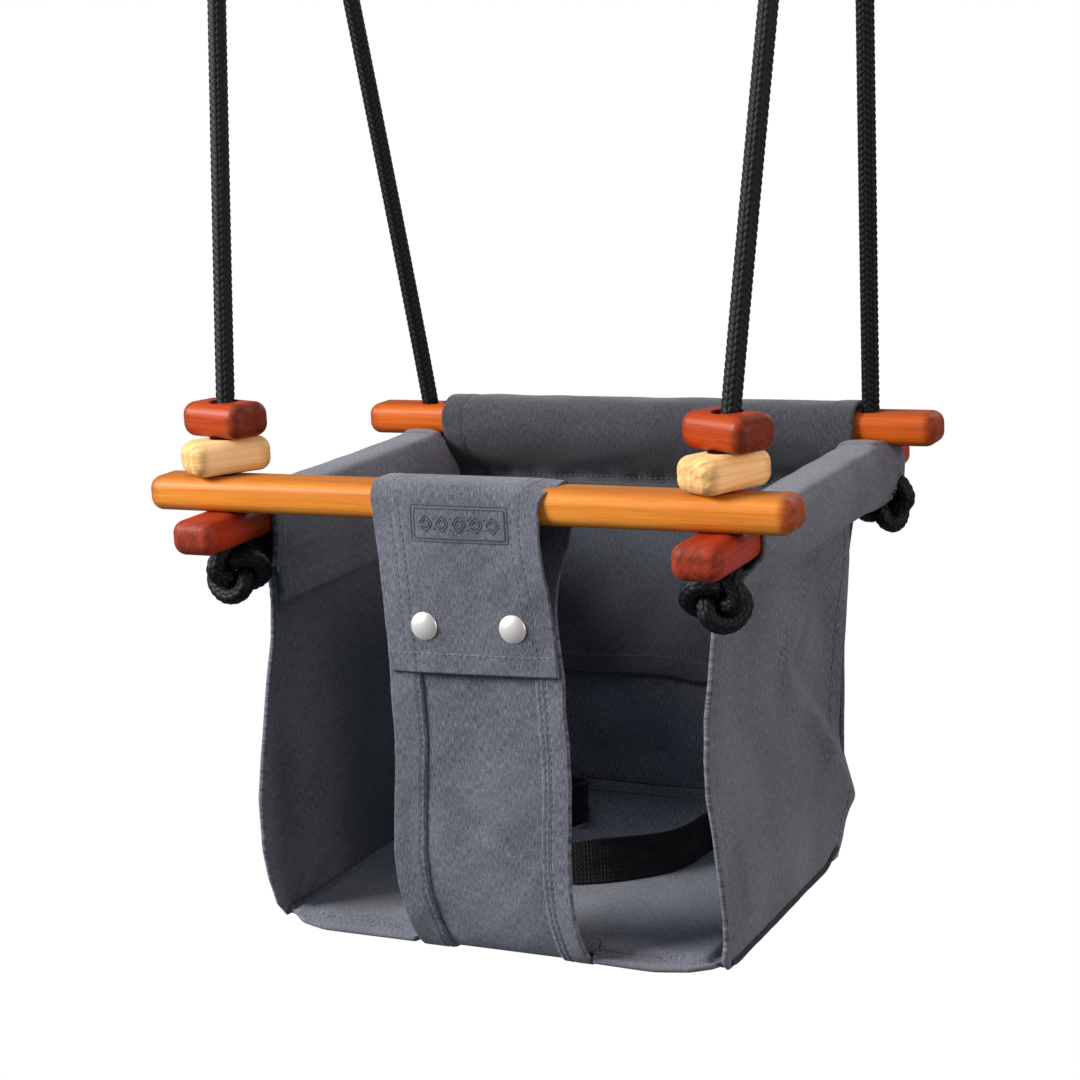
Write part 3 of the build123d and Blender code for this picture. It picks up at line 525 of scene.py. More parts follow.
def cloth(name, mid, uv, th, body="seat", mat=None, replaces=(), ride=True):
    v, f, uvs, n, front = shell_arrays(mid, uv, th)
    o = mesh(name, v, f, mat or CANVAS, uv=uvs, body=body if ride else None)
    if replaces:
        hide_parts(*replaces)
    return o, n, front


# ---------------------------------------------------------------- ropes and knots
# Each rope is one braided line: a knot under the front rail, up through the rails and blocks,
# over the ring, down to the back rail, and a second knot.
KNOT = [(-1.5, 17.0, 1.0), (-6.5, 13.0, 6.0), (-11.6, 0.1, 7.5), (-4.5, -4.2, 3.3), (-0.5, -6.8, -4.7),
        (8.1, -10.0, -7.3), (17.2, -2.4, -1.6), (12.4, 8.7, 5.9), (1.8, 8.6, 6.6), (-2.9, 4.8, -0.2),
        (-8.8, 2.5, -6.8), (-13.7, -7.1, -5.6), (-5.8, -16.3, 2.0), (5.0, -11.5, 7.4), (6.1, -2.6, 4.3),
        (6.0, 2.1, -3.7), (5.5, 10.6, -7.4), (-6.5, 11.8, -8.5), (-12.5, 9.5, -8.0)]
ACROSS, TOWARD = np.array([0.903, 0.426, 0.0]), np.array([0.427, -0.904, 0.0])


def knot_points(cx, cy, flip, turn=0.0):
    c, s = math.cos(turn), math.sin(turn)
    out = []
    for a, b, w in KNOT:
        a = a * flip
        a2, w2 = a * c - w * s, a * s + w * c
        out.append(np.array([cx, cy, -42.6]) + ACROSS * a2 * 0.95 + TOWARD * w2 + np.array([0, 0, b * 0.88]))
    return out


def rope_path(name, s, fx, bx, ff, bf, ft, bt):
    front = knot_points(fx, -118.3, ff, ft)
    back = knot_points(bx, 119.3, bf, bt)
    mid = [(s * 139.5, -117.3, -26.0), (s * 139.5, -117.3, 2.0),
           (s * 172.6, -7.3, 529.0), (s * 176.2, 4.79, 587.27), (s * 176.2, 14.25, 591.73), (s * 176.2, 23.52, 586.86),
           (s * 172.5, 33.4, 528.0), (s * 139.5, 119.3, 2.0), (s * 139.5, 119.3, -26.0)]
    pts = [P(p) for p in front[::-1]] + [P(p) for p in mid] + [P(p) for p in back]
    cu = bpy.data.curves.new(name + "_line", "CURVE")
    cu.dimensions = "3D"
    cu.resolution_u = 24
    sp = cu.splines.new("NURBS")
    sp.points.add(len(pts) - 1)
    for q, p in zip(sp.points, pts):
        q.co = (*p, 1.0)
    sp.order_u = 3
    sp.use_endpoint_u = True
    sp.resolution_u = 24
    bare = bpy.data.objects.new(name + "_bare", cu)
    me = bpy.data.meshes.new_from_object(bare)
    line = np.array([v.co for v in me.vertices], float).reshape(-1, 3)
    bpy.data.meshes.remove(me)
    bpy.data.objects.remove(bare)
    bpy.data.curves.remove(cu)
    return line


def braid(name, line, node_list):
    keep = np.concatenate([[True], np.linalg.norm(np.diff(line, axis=0), axis=1) > 1e-6])
    line = line[keep]
    d = np.concatenate([[0], np.cumsum(np.linalg.norm(np.diff(line, axis=0), axis=1))])
    total = d[-1]
    step, na, r0, cols = 0.00050, 56, 0.00492, 8
    s = np.linspace(0, total, int(total / step))
    c = np.stack([np.interp(s, d, line[:, k]) for k in range(3)], 1)
    ker = np.ones(7) / 7
    for k in range(3):
        padded = np.concatenate([np.full(3, c[0, k]), c[:, k], np.full(3, c[-1, k])])
        mid_ = np.convolve(padded, ker, "valid")
        c[3:-3, k] = mid_[3:-3]
    t = np.gradient(c, axis=0)
    t /= np.linalg.norm(t, axis=1, keepdims=True)
    # a frame carried along without twist
    n = np.zeros_like(t)
    ref = np.array([1.0, 0, 0]) if abs(t[0, 0]) < 0.8 else np.array([0, 1.0, 0])
    v = ref - t[0] * (ref @ t[0])
    n[0] = v / np.linalg.norm(v)
    for i in range(1, len(t)):
        v = n[i - 1] - t[i] * (n[i - 1] @ t[i])
        n[i] = v / np.linalg.norm(v)
    b = np.cross(t, n)
    ang = np.linspace(0, 2 * math.pi, na, endpoint=False)
    S, A = np.meshgrid(s, ang, indexing="ij")
    pitch = 0.0036
    x = A / (2 * math.pi) * cols
    col = np.floor(x).astype(int)
    f = x - col
    sign = np.where(col % 2 == 0, 1.0, -1.0)
    ph = S / pitch + sign * (f - 0.5) * 0.62 + 0.25 * sign
    cell = np.abs(np.sin(math.pi * ph)) ** 0.55
    edge = 1 - np.abs(2 * f - 1) ** 5 * 0.85
    ply = 1 - 0.10 * np.abs(np.sin(3 * math.pi * ph))
    h = cell * edge * ply
    endcap = np.sqrt(np.clip(1 - (1 - np.clip(np.minimum(S, total - S) / 0.0035, 0, 1)) ** 2, 0, 1))
    r = (r0 - 0.00052 + 0.00070 * h) * (0.06 + 0.94 * endcap)
    pts = c[:, None] + n[:, None] * (np.cos(A) * r)[..., None] + b[:, None] * (np.sin(A) * r)[..., None]
    nv = len(s)
    verts = np.concatenate([pts.reshape(-1, 3), c[:1], c[-1:]])
    i, j = np.meshgrid(np.arange(nv - 1), np.arange(na), indexing="ij")
    a0 = (i * na + j).ravel()
    a1 = (i * na + (j + 1) % na).ravel()
    quads = np.stack([a0, a1, a1 + na, a0 + na], 1)
    jj = np.arange(na)
    k1, k2 = nv * na, nv * na + 1
    last = (nv - 1) * na
    tri = [[int(q), k1, int((q + 1) % na)] for q in jj] + [[int(last + (q + 1) % na), k2, int(last + q)] for q in jj]
    u = np.stack([A * 0.005, S], 2).reshape(-1, 2)
    uv = np.concatenate([u, [[0, 0], [0, total]]])
    at = np.concatenate([h.ravel(), [0, 0]])
    me_faces = quads[:, ::-1].tolist() + [q[::-1] for q in tri]
    me = bpy.data.meshes.new(name)
    me.from_pydata(verts.tolist(), [], me_faces)
    layer = me.uv_layers.new(name="UVMap")
    loops = np.zeros(len(me.loops), np.int32)
    me.loops.foreach_get("vertex_index", loops)
    layer.data.foreach_set("uv", uv.astype(np.float32)[loops].ravel())
    # the relief height, which the rope material turns into painted shade in the grooves
    w = me.attributes.new("weave", "FLOAT", "POINT")
    w.data.foreach_set("value", at.astype(np.float32))
    me.polygons.foreach_set("use_smooth", np.ones(len(me.polygons), bool))
    me.materials.append(ROPE)
    o = bpy.data.objects.new(name, me)
    bpy.context.scene.collection.objects.link(o)
    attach(o, "seat")
    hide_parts(*node_list)
    return o, total


left_line = rope_path("left_rope_braid", -1, -137.5, -147.5, 1, -1, 0.0, 0.5)
right_line = rope_path("right_rope_braid", 1, 137.0, 147.5, -1, -1, 0.15, -0.3)
_, left_len = braid("left_rope_braid", left_line, ("left_rope", "front_left_knot", "back_left_knot"))
_, right_len = braid("right_rope_braid", right_line, ("right_rope", "front_right_knot", "back_right_knot"))

# ---------------------------------------------------------------- side panels


def lerp_outline(outline, z):
    o = np.array(outline, float)[::-1]  # rising z
    return np.interp(z, o[:, 1], o[:, 0])


R_FRONT = [(-101.5, -45.5), (-107.6, -67), (-115, -85), (-123.5, -103), (-127, -123), (-125, -144), (-119, -166), (-113.5, -189), (-107.5, -212), (-107.5, -226), (-111, -234), (-106, -239)]
L_FRONT = [(-96.5, -45.5), (-96.5, -64), (-99.5, -85), (-108.5, -116), (-118, -147), (-123, -168), (-124, -196), (-120, -215), (-114, -231), (-107, -239)]
BACK_EDGE = [(101.5, -45.5), (101.5, -72), (95.5, -96), (91.5, -124), (87.4, -153), (86.8, -182), (87, -213), (81.5, -223), (75, -232), (66, -239)]


def side_panel(name, s, front_edge, y0, node):
    # Profile across the sleeve: a facing hemmed inside, up round the rail, down to the seam, down the panel.
    prof = [(126.4, -65.5), (126.3, -56), (126.5, -48.5), (124.9, -40), (123.3, -28), (123.4, -16), (126.6, -8.4), (133.5, -6.2), (146.5, -6.2), (153.0, -8.6),
            (155.6, -17), (155.4, -29), (152.9, -37.4), (144.5, -43.6), (134, -46.4), (129.4, -49.5), (129.2, -60), (129.3, -120), (129.3, -180), (129.3, -239.2)]
    L = along(prof, None)
    nv, nu = 250, 220
    sv = np.linspace(0, L, nv)
    xz = along(prof, sv)
    x, z = xz[:, 0], xz[:, 1]
    # Which part of the profile: 0 inner facing and sleeve, 1 the hanging panel.
    seam = L - (239.2 - 48.5)
    hang = smooth(sv, seam - 6, seam + 2)
    inner = 1 - smooth(sv, 14, 24)
    yf_panel, yb_panel = lerp_outline(front_edge, np.minimum(z, -45.5)), lerp_outline(BACK_EDGE, np.minimum(z, -45.5)) + (1.2 if s > 0 else 3.2)
    outer = smooth(x, 145, 154) * (z < -8)
    yf = y0 + (yf_panel - y0) * hang
    yf = np.where(sv < 20, y0 + 5.0, yf)
    yb = 101.8 + (yb_panel - 101.8) * hang + 20.5 * np.where((x > 140), smooth(x, 147, 154.5), 0) * (1 - hang)
    yb = np.where(sv < 24, 112.0, yb + 15.0 * np.where((x < 126) & (z < -11), smooth(-z, 11, 15), 0) * (1 - hang))
    u = np.linspace(0, 1, nu)
    # finer columns near both edges, for the hems
    u = u + 0.035 * np.sin(2 * math.pi * u) * -1
    Y = yf[:, None] + (yb - yf)[:, None] * u[None]
    X = np.repeat(x[:, None], nu, 1)
    Z = np.repeat(z[:, None], nu, 1)
    below = smooth(-Z, 52, 80) * np.where(sv[:, None] > seam, 1, 0)
    # Cloth sags in long soft folds and bows out a little between seam and base.
    bow = 1.1 * np.sin(math.pi * np.clip((-Z - 48) / 191, 0, 1)) * below
    ripple = 0.9 * wob(Y / 300, Z / 300, 3 if s > 0 else 5) * below * smooth(239 + Z, 0, 25)
    to_back = (1 - u[None]) * (yb - yf)[:, None]
    off = (bow + ripple) * smooth(to_back, 0, 16)
    if s > 0:
        # A ridge runs from the sleeve down to mid panel and back to the lower rear corner;
        # behind it the cloth is pushed in.
        ridge = np.array([(50.9, -50.4), (33.0, -70.0), (15.9, -82.1), (-6.0, -94.0), (-14.8, -104.9), (-8.0, -116.0), (11.4, -131.0), (42.4, -158.7), (64.0, -180.0), (86.0, -208.5)])
        dd = np.full(Y.shape, 1e9)
        for (ya, za), (yc, zc) in zip(ridge[:-1], ridge[1:]):
            w = np.clip(((Y - ya) * (yc - ya) + (Z - za) * (zc - za)) / ((yc - ya) ** 2 + (zc - za) ** 2), 0, 1)
            dd = np.minimum(dd, np.hypot(Y - ya - w * (yc - ya), Z - za - w * (zc - za)))
        ry = np.interp(-Z, -ridge[:, 1], ridge[:, 0], left=51, right=86)
        behind = Y > ry
        off = off + 4.4 * np.exp(-((dd / 8.5) ** 2)) * below
        off = off - 9.0 * np.where(behind, smooth(dd, 0, 26), 0) * below * smooth(96 - Y, -2, 22)
        off = off + 1.3 * np.exp(-(((Y * 0.75 + Z * 0.66 + 62) / 9.0) ** 2)) * below * smooth(Y, -30, 20)
        # strain folds by the front edge
        off = off + 1.0 * np.exp(-(((Y + 92 + 0.25 * (Z + 150)) / 7.0) ** 2)) * smooth(-Z, 90, 130) * smooth(235 + Z, 0, 30)
        off = off + 0.9 * np.sin((Y * 0.45 - Z * 0.9) / 9.5) * np.exp(-(((Y - 60) / 26.0) ** 2)) * np.exp(-(((Z + 200) / 18.0) ** 2))
    else:
        for cy, cz, ang, w, amp, ln in ((-88, -226, 0.9, 4.5, 1.6, 20), (-70, -232, 0.35, 4, 1.2, 22), (-104, -205, 1.3, 5, 1.3, 26), (20, -150, 1.1, 14, 1.2, 60)):
            a = (Y - cy) * math.cos(ang) + (Z - cz) * math.sin(ang)
            b = -(Y - cy) * math.sin(ang) + (Z - cz) * math.cos(ang)
            off = off + amp * np.exp(-((b / w) ** 2) - (a / ln) ** 2)
    wdist_ = u[None] * (yb - yf)[:, None]
    # sleeve: shallow hollows between the rail's corners, puckers into the seam
    sl = (1 - hang)[:, None] * (sv > 24)[:, None]
    off = off + sl * (0.55 * wob(Y / 210, sv[:, None] / 130, 11) - 0.25)
    puck = np.exp(-(((sv[:, None] - seam) / 7.0) ** 2))
    off = off + puck * 0.45 * np.sin(Y / 3.1 + 1.3 * np.sin(Y / 17.0))
    # free edges of the sleeve flare slightly
    off = off + 1.6 * np.exp(-(((u[None] - 1) * (yb - yf)[:, None] / 7.0) ** 2)) * sl * (x > 128)[:, None]
    X = X + off * np.where(sv[:, None] > seam - 10, 1.0, 0.0)
    hug = np.exp(-((wdist_ / 20.0) ** 2)) * sl
    X = X - hug * (1.3 * smooth(x, 150, 155) * smooth(-z, 10, 20) + 9.0 * smooth(-z, 22, 40) * smooth(x, 131, 150))[:, None]
    rad = np.stack([x - 139.5, z + 22.0], 1)
    rad /= np.linalg.norm(rad, axis=1, keepdims=True)
    inn = np.where(sv[:, None] <= seam - 10, 1.0, 0.0)
    X = X + inn * off * rad[:, :1]
    Z = Z + inn * off * rad[:, 1:] * 0.7
    Z = np.where(Z < -239.3, -239.3, Z)
    mid = np.stack([s * X, Y, Z], 2)
    wdist_f = u[None] * (yb - yf)[:, None]
    wdist_b = (1 - u[None]) * (yb - yf)[:, None]
    th = 1.45 + 1.5 * (1 - smooth(wdist_f, 8.8, 10.0)) + 0.8 * (1 - smooth(wdist_b, 7.0, 9.0)) + 0.9 * (1 - smooth(sv, 9.0, 11.0))[:, None]
    th = th + 0.8 * ((sv > seam - 6) & (sv < seam + 14))[:, None]
    for d0 in (wdist_f - 9.0, wdist_b - 8.0, sv[:, None] - 9.6 + 0 * wdist_f, sv[:, None] - seam - 1.2 + 0 * wdist_f, sv[:, None] - seam - 9.8 + 0 * wdist_f):
        th = th - 0.5 * np.exp(-((d0 / 0.9) ** 2))
    uv = np.stack([Y / 1000 * 1.0 + 0.3 * s, sv[:, None] / 1000 + 0 * Y], 2)
    if s < 0:
        mid, uv, th = mid[:, ::-1], uv[:, ::-1], th[:, ::-1]
    mid_, uv_, th_ = mid, uv, th
    o, n, face = cloth(name, mid_, uv_, th_, replaces=(node,))
    # stitch lines sit on the outward face, and on the inward one for the facing
    sgn = 1.0 if np.mean((n[200, 70] * (s, 0, 0))) > 0 else -1.0
    out_face, out_n = mid_ + n * sgn * th_[..., None] / 2, n * sgn
    in_face, in_n = mid_ - n * sgn * th_[..., None] / 2, -n * sgn
    if s < 0:
        wf, wb = wdist_f[:, ::-1], wdist_b[:, ::-1]
    else:
        wf, wb = wdist_f, wdist_b
    k_seam = int(np.argmin(np.abs(sv - seam - 1.2)))
    k_seam2 = int(np.argmin(np.abs(sv - seam - 9.8)))
    for fc, nn_ in ((out_face, out_n), (in_face, in_n)):
        for dist, off_ in ((wf, 9.0), (wf, 5.2), (wb, 8.0)):
            cols = np.argmin(np.abs(dist - off_), axis=1)
            rows = np.arange(nv)
            ok = rows > k_seam
            # follow the exact offset between columns
            pts, nos = [], []
            for r in rows[ok][::2]:
                order = np.argsort(dist[r])
                jf = np.interp(off_, dist[r][order], order.astype(float))
                j0 = int(np.clip(math.floor(jf), 0, nu - 2))
                w = jf - j0
                pts.append(fc[r, j0] * (1 - w) + fc[r, j0 + 1] * w)
                nos.append(nn_[r, j0])
            if off_ != 5.2:
                stitch(pts, nos, "seat", "side_seams")
        for kk in (k_seam, k_seam2):
            stitch(fc[kk, 3:-3], nn_[kk, 3:-3], "seat", "side_seams")
    k_face = int(np.argmin(np.abs(sv - 9.6)))
    for kk in (k_face,):
        stitch(in_face[kk, 3:-3] , in_n[kk, 3:-3], "seat", "side_seams")
        stitch(out_face[kk, 3:-3] , out_n[kk, 3:-3], "seat", "side_seams")
    return o


side_panel("right_panel_cloth", 1, R_FRONT, -100.0, "right_side_panel")
side_panel("left_panel_cloth", -1, L_FRONT, -98.0, "left_side_panel")

# ---------------------------------------------------------------- back panel
BACK = [(119.5, -27.5), (119.4, -46), (110.5, -60), (102.6, -74), (96.6, -94), (91.6, -122), (88, -152), (86.8, -182), (86.8, -213.2)]


def back_panel():
    prof = [(120.9, -33.0), (121.8, -28.5), (128.0, -21.0), (134.0, -12.0), (135.2, -3.0), (133.4, 7.5), (127.0, 13.4), (113.0, 14.0), (105.2, 9.6), (102.9, 1.0), (102.6, -8.5), (106.3, -18.5),
            (114.5, -27.5), (118.9, -32.0)] + [(119.2, -38.0)] + BACK[2:]
    prof = prof[:15] + [(117.6, -48.0)] + BACK[2:]
    L = along(prof, None)
    nv, nu = 260, 190
    sv = np.linspace(0, L, nv)
    yz = along(prof, sv)
    y, z = yz[:, 0], yz[:, 1]
    seam = float(sv[np.argmin(np.where(sv > 60, np.abs(z + 33.0) + (sv > 150) * 99, 99))])
    hang = smooth(sv, seam - 3, seam + 3)
    sleeve = 1 - hang
    xl = -123.5 * sleeve + -129.3 * hang
    xr = 133.5 * sleeve + 128.9 * hang
    xr = np.where((z < -8.0) & (sleeve > 0.01), 126.5 + (xr - 126.5) * smooth(z, -12.0, -6.5), xr)
    low = smooth(-z, 178, 214)
    xl, xr = xl + 0.3 * low, xr - 0.3 * low
    u = np.linspace(0, 1, nu)
    u = u - 0.03 * np.sin(2 * math.pi * u)
    X = xl[:, None] + (xr - xl)[:, None] * u[None]
    wl, wr = X - xl[:, None], xr[:, None] - X
    # the left end of the sleeve leans: out at mid height, in at the seam
    X = X - (2.6 * np.exp(-(((z - 2) / 9.0) ** 2)) * sleeve * (y < 119))[:, None] * np.exp(-((wl / 30.0) ** 2))
    Y, Z = np.repeat(y[:, None], nu, 1), np.repeat(z[:, None], nu, 1)
    dy, dz = np.gradient(y), np.gradient(z)
    ln = np.hypot(dy, dz)
    ny, nz = (dz / ln)[:, None], (-dy / ln)[:, None]  # into the seat on the hanging part
    off = hang[:, None] * (1.7 * wob(X / 260, Z / 260, 21) * smooth(-Z, 55, 95) - 1.5 * np.sin(math.pi * np.clip(u[None], 0, 1)) * smooth(-Z, 60, 120))
    off = off * smooth(Z, -212, -190)
    off = off + sleeve[:, None] * (0.7 * wob(X / 190, sv[:, None] / 90, 23))
    puck = np.exp(-(((sv[:, None] - seam) / 6.0) ** 2))
    off = off + puck * 0.5 * np.sin(X / 3.3 + 1.1 * np.sin(X / 15.0))
    sidefold = np.exp(-(((X - 112) * 0.9 + (Z + 96) * 0.35) / 7.0) ** 2) + np.exp(-(((X + 112) * 0.9 - (Z + 96) * 0.35) / 7.0) ** 2)
    off = off - 1.6 * sidefold * smooth(-Z, 52, 80) * smooth(175 + Z, 0, 30)
    clear = np.where(hang[:, None] > 0.5, -np.clip(-off, 0, 3.0) + np.clip(off, 0, 1.2), off)
    Y = Y - np.abs(ny) * clear * hang[:, None] * -1 * -1 if False else Y + ny * clear
    Z = Z + nz * clear
    th = 1.4 + 0.9 * ((1 - smooth(wl, 11, 13)) + (1 - smooth(wr, 11, 13))) * sleeve[:, None] + 0.5 * ((1 - smooth(wl, 7, 9)) + (1 - smooth(wr, 7, 9))) * hang[:, None]
    th = th + 0.9 * (1 - smooth(np.abs(sv - seam), 4, 6))[:, None]
    for d0 in (wl - 12.4, wr - 12.4):
        th = th - 0.5 * np.exp(-((d0 / 0.9) ** 2)) * sleeve[:, None]
    for d0 in (sv[:, None] - seam - 0.5,):
        th = th - 0.6 * np.exp(-((d0 / 0.9) ** 2))
    uv = np.stack([X / 1000, sv[:, None] / 1000 + 0 * X + 0.9], 2)
    mid = np.stack([X, Y, Z], 2)
    # the back panel takes the canvas copy with painted shade
    o, n, face = cloth("back_panel_cloth", mid, uv, th, mat=CANVAS_PAINTED_SHADE, replaces=("back_panel",))
    k = int(np.argmin(np.abs(sv - seam - 0.5)))
    sgn = 1.0 if n[k + 60, 90, 1] < 0 else -1.0
    ins, ins_n = mid + n * sgn * th[..., None] / 2, n * sgn
    out_, out_n = mid - n * sgn * th[..., None] / 2, -n * sgn
    for fc, nn_ in ((ins, ins_n), (out_, out_n)):
        stitch(fc[k, 3:-3], nn_[k, 3:-3], "seat", "back_seams")
    for dist, lo, hi in ((wl, 4, k - 2), (wr, 4, k - 2)):
        pts, nos = [], []
        for r in range(lo, hi, 2):
            order = np.argsort(dist[r])
            jf = np.interp(12.4, dist[r][order], order.astype(float))
            j0 = int(np.clip(math.floor(jf), 0, nu - 2))
            w = jf - j0
            pts.append(ins[r, j0] * (1 - w) + ins[r, j0 + 1] * w)
            nos.append(ins_n[r, j0])
        # on the sleeve the outward face is the one away from the rail
        pts, nos = np.array(pts), np.array(nos)
        centre = np.array([0, 119.3, 0])
        away = np.einsum("ij,ij->i", nos, np.concatenate([np.zeros((len(pts), 1)), (pts - centre)[:, 1:]], 1))
        flip = np.where(away < 0, -1.0, 1.0)[:, None]
        pts = pts - nos * np.where(flip < 0, 1.0, 0.0) * 2.2
        stitch(pts, nos * flip, "seat", "back_seams")
    return o


back_panel()


def facing():
    # A second layer lies on the back panel's inner face from the seam to a hem two thirds up.
    prof = [(116.9, -37.0), (114.6, -48.0), (108.2, -59.5), (100.5, -73.5), (94.4, -93.8), (89.3, -121.8), (86.2, -146.0)]
    L = along(prof, None)
    nv, nu = 110, 150
    sv = np.linspace(0, L, nv)
    yz = along(prof, sv)
    u = np.linspace(0, 1, nu)
    X = np.repeat((-123.0 + 245.8 * u)[None], nv, 0)
    Y, Z = np.repeat(yz[:, :1], nu, 1), np.repeat(yz[:, 1:], nu, 1)
    hem = 2.2 * wob(X / 300, 0.3 + 0 * X, 31) * smooth(sv, L - 60, L)[:, None]
    Z = Z + hem
    # the same bowing as the panel behind it, and a little standing off at the hem
    off = -1.5 * np.sin(math.pi * u[None]) * smooth(-Z, 60, 120) + 1.7 * wob(X / 260, Z / 260, 21) * smooth(-Z, 55, 95)
    off = -np.clip(-off, 0, 3.0) + np.clip(off, 0, 1.2)
    Y = Y - off * 0.93 - 0.55 - 0.5 * smooth(sv, L - 30, L)[:, None] * (0.6 + 0.5 * wob(X / 150, 0 * X, 8))
    th = 1.0 + 0.8 * smooth(sv, L - 12.5, L - 10.5)[:, None] + 0 * X - 0.45 * np.exp(-(((sv[:, None] - L + 10.8) / 0.9) ** 2))
    uv = np.stack([X / 1000 + 0.5, sv[:, None] / 1000 + 0 * X + 0.4], 2)
    mid = np.stack([X, Y, Z], 2)
    # the facing takes the darker canvas copy: painted shade
    o, n, face = cloth("back_facing_cloth", mid, uv, th, mat=FACING_PAINTED_SHADE, replaces=("back_facing",))
    sgn = 1.0 if n[50, 70, 1] < 0 else -1.0
    k = int(np.argmin(np.abs(sv - (L - 10.8))))
    fc = mid + n * sgn * th[..., None] / 2
    stitch(fc[k, 2:-2], n[k, 2:-2] * sgn, "seat", "back_seams")
    return o


facing()

# ---------------------------------------------------------------- seat base


def base():
    # Section from the front hem back to the curl up the rear, under the thin board's layer of cloth.
    prof = [(-122.0, -236.5), (-60, -236.5), (30, -236.5), (62.0, -236.5), (74.5, -233.2), (82.8, -225.0), (85.2, -213.3)]
    L = along(prof, None)
    nv, nu = 220, 200
    sv = np.linspace(0, L, nv)
    sv = sv[-1] * (sv / sv[-1] - 0.02 * np.sin(2 * math.pi * sv / sv[-1]))
    yz = along(prof, sv)
    dy, dz = np.gradient(yz[:, 0]), np.gradient(yz[:, 1])
    ln = np.hypot(dy, dz)
    up_y, up_z = -dz / ln, dy / ln
    x = np.linspace(-127.9, 127.9, nu)
    fx = [-128, -112, -96, -40.4, -38.8, 59.4, 61.0, 96, 114, 124, 128]
    fy = [-106, -118.5, -122, -122, -112.5, -112.5, -122, -122, -118.5, -112, -103]
    edge = np.interp(x, fx, fy)
    ker = np.array([1, 2, 1]) / 4.0
    edge = np.convolve(np.concatenate([[edge[0]], edge, [edge[-1]]]), ker, "valid")
    X = np.repeat(x[None], nv, 0)
    y = np.repeat(yz[:, :1], nu, 1)
    Y = 62 - (62 - y) * np.where(y < 62, (62 - edge[None]) / (62 + 122.0), 1.0)
    Z = np.repeat(yz[:, 1:], nu, 1)
    dfront = Y - edge[None]
    dside = 128 - np.abs(X)
    dback = (L - sv)[:, None] + 0 * X
    board = smooth(Y, -114.5, -108.8) * smooth(122.8 - np.abs(X), 0, 5.2) * (1 - smooth(Y, 53.5, 61.0))
    th = 1.7 + 0.9 * (1 - smooth(dfront, 9.5, 11.5)) * (1 - board) + 3.7 * board
    for a in (3.4, 6.0, 11.0):
        th = th - 0.75 * np.exp(-(((dfront - a) / 0.8) ** 2)) * (1 - board)
    th = th + 0.30 * wob(X / 220, Y / 220, 41) * smooth(dfront, 12, 26) * smooth(dside, 6, 20)
    # small puckers between the hem and the board
    th = th + 0.30 * np.sin(X / 4.1 + 1.4 * np.sin(X / 19.0)) * np.exp(-(((dfront - 14) / 5.0) ** 2))
    top = 0.8 * wob(X / 300, Y / 260, 43) * smooth(dfront, 14, 40) * smooth(dside, 10, 36)
    lift = 1.0 * np.exp(-((dside / 10.0) ** 2))
    corner = np.exp(-(((np.abs(X) - 118) / 18.0) ** 2)) * np.exp(-((dfront / 14.0) ** 2))
    h = -2.8 + th / 2 + 0.15 + lift * 0.8 + corner * 1.2 + 0.35 * top
    h = h + 0.7 * np.sin(X / 33.0 + 0.6) * np.exp(-((dfront / 12.0) ** 2)) * (np.abs(X) > 60)
    Y = Y + up_y[:, None] * h
    Z = Z + up_z[:, None] * h
    Z = np.maximum(Z, -239.2 + th / 2 * np.abs(up_z[:, None]))
    mid = np.stack([X, Y, Z], 2)
    uv = np.stack([X / 1000 + 0.1, sv[:, None] / 1000 + 0 * X + 1.7], 2)
    o, n, face = cloth("seat_base_cloth", mid, uv, th, replaces=("seat_base",))
    sgn = 1.0 if n[60, 60, 2] > 0 else -1.0
    topf, botf = mid + n * sgn * th[..., None] / 2, mid - n * sgn * th[..., None] / 2
    for fc, sg in ((topf, 1), (botf, -1)):
        for a in (3.4, 6.0, 11.0):
            pts, nos = [], []
            for c in range(4, nu - 4, 2):
                rf = np.interp(a, dfront[:, c], np.arange(nv, dtype=float))
                r0 = int(math.floor(rf))
                w = rf - r0
                pts.append(fc[r0, c] * (1 - w) + fc[r0 + 1, c] * w)
                nos.append(n[r0, c] * sgn * sg)
            stitch(pts, nos, "seat", "base_seams")
        kb = int(np.argmin(np.abs(sv - (L - 5.0))))
        stitch(fc[kb, 3:-3], n[kb, 3:-3] * sgn * sg, "seat", "base_seams")
    return o


base()


def binding(name, s, node):
    # Tape folded round the base's side seam, curling up a little at the rear.
    path_y = np.linspace(-104, 66, 120)
    t = np.linspace(0, 1, 26)
    prof = np.array([(131.0, -237.0), (131.3, -239.0), (130.4, -240.5), (128.0, -240.9), (122.2, -240.7)])
    pr = along(prof, np.linspace(0, along(prof, None), len(t)))
    Y = np.repeat(path_y[:, None], len(t), 1)
    rise = 4.6 * smooth(Y, 42, 66) + 1.3 * smooth(-Y, 92, 104)
    X = np.repeat(pr[None, :, 0], len(path_y), 0) + 0.25 * wob(Y / 120, 0.2 + 0 * Y, 61)
    Z = np.repeat(pr[None, :, 1], len(path_y), 0) + rise + 0.25 * wob(Y / 90, 0.7 + 0 * Y, 62)
    Lp = along(prof, None)
    mid = np.stack([s * X, Y, Z], 2)
    uv = np.stack([np.repeat((t * Lp / 1000)[None], len(path_y), 0), Y / 1000], 2)
    if s < 0:
        mid, uv = mid[:, ::-1], uv[:, ::-1]
    cloth(name, mid, uv, 0.9, mat=WEB, replaces=(node,))


binding("right_binding_tape", 1, "right_base_binding")
binding("left_binding_tape", -1, "left_base_binding")

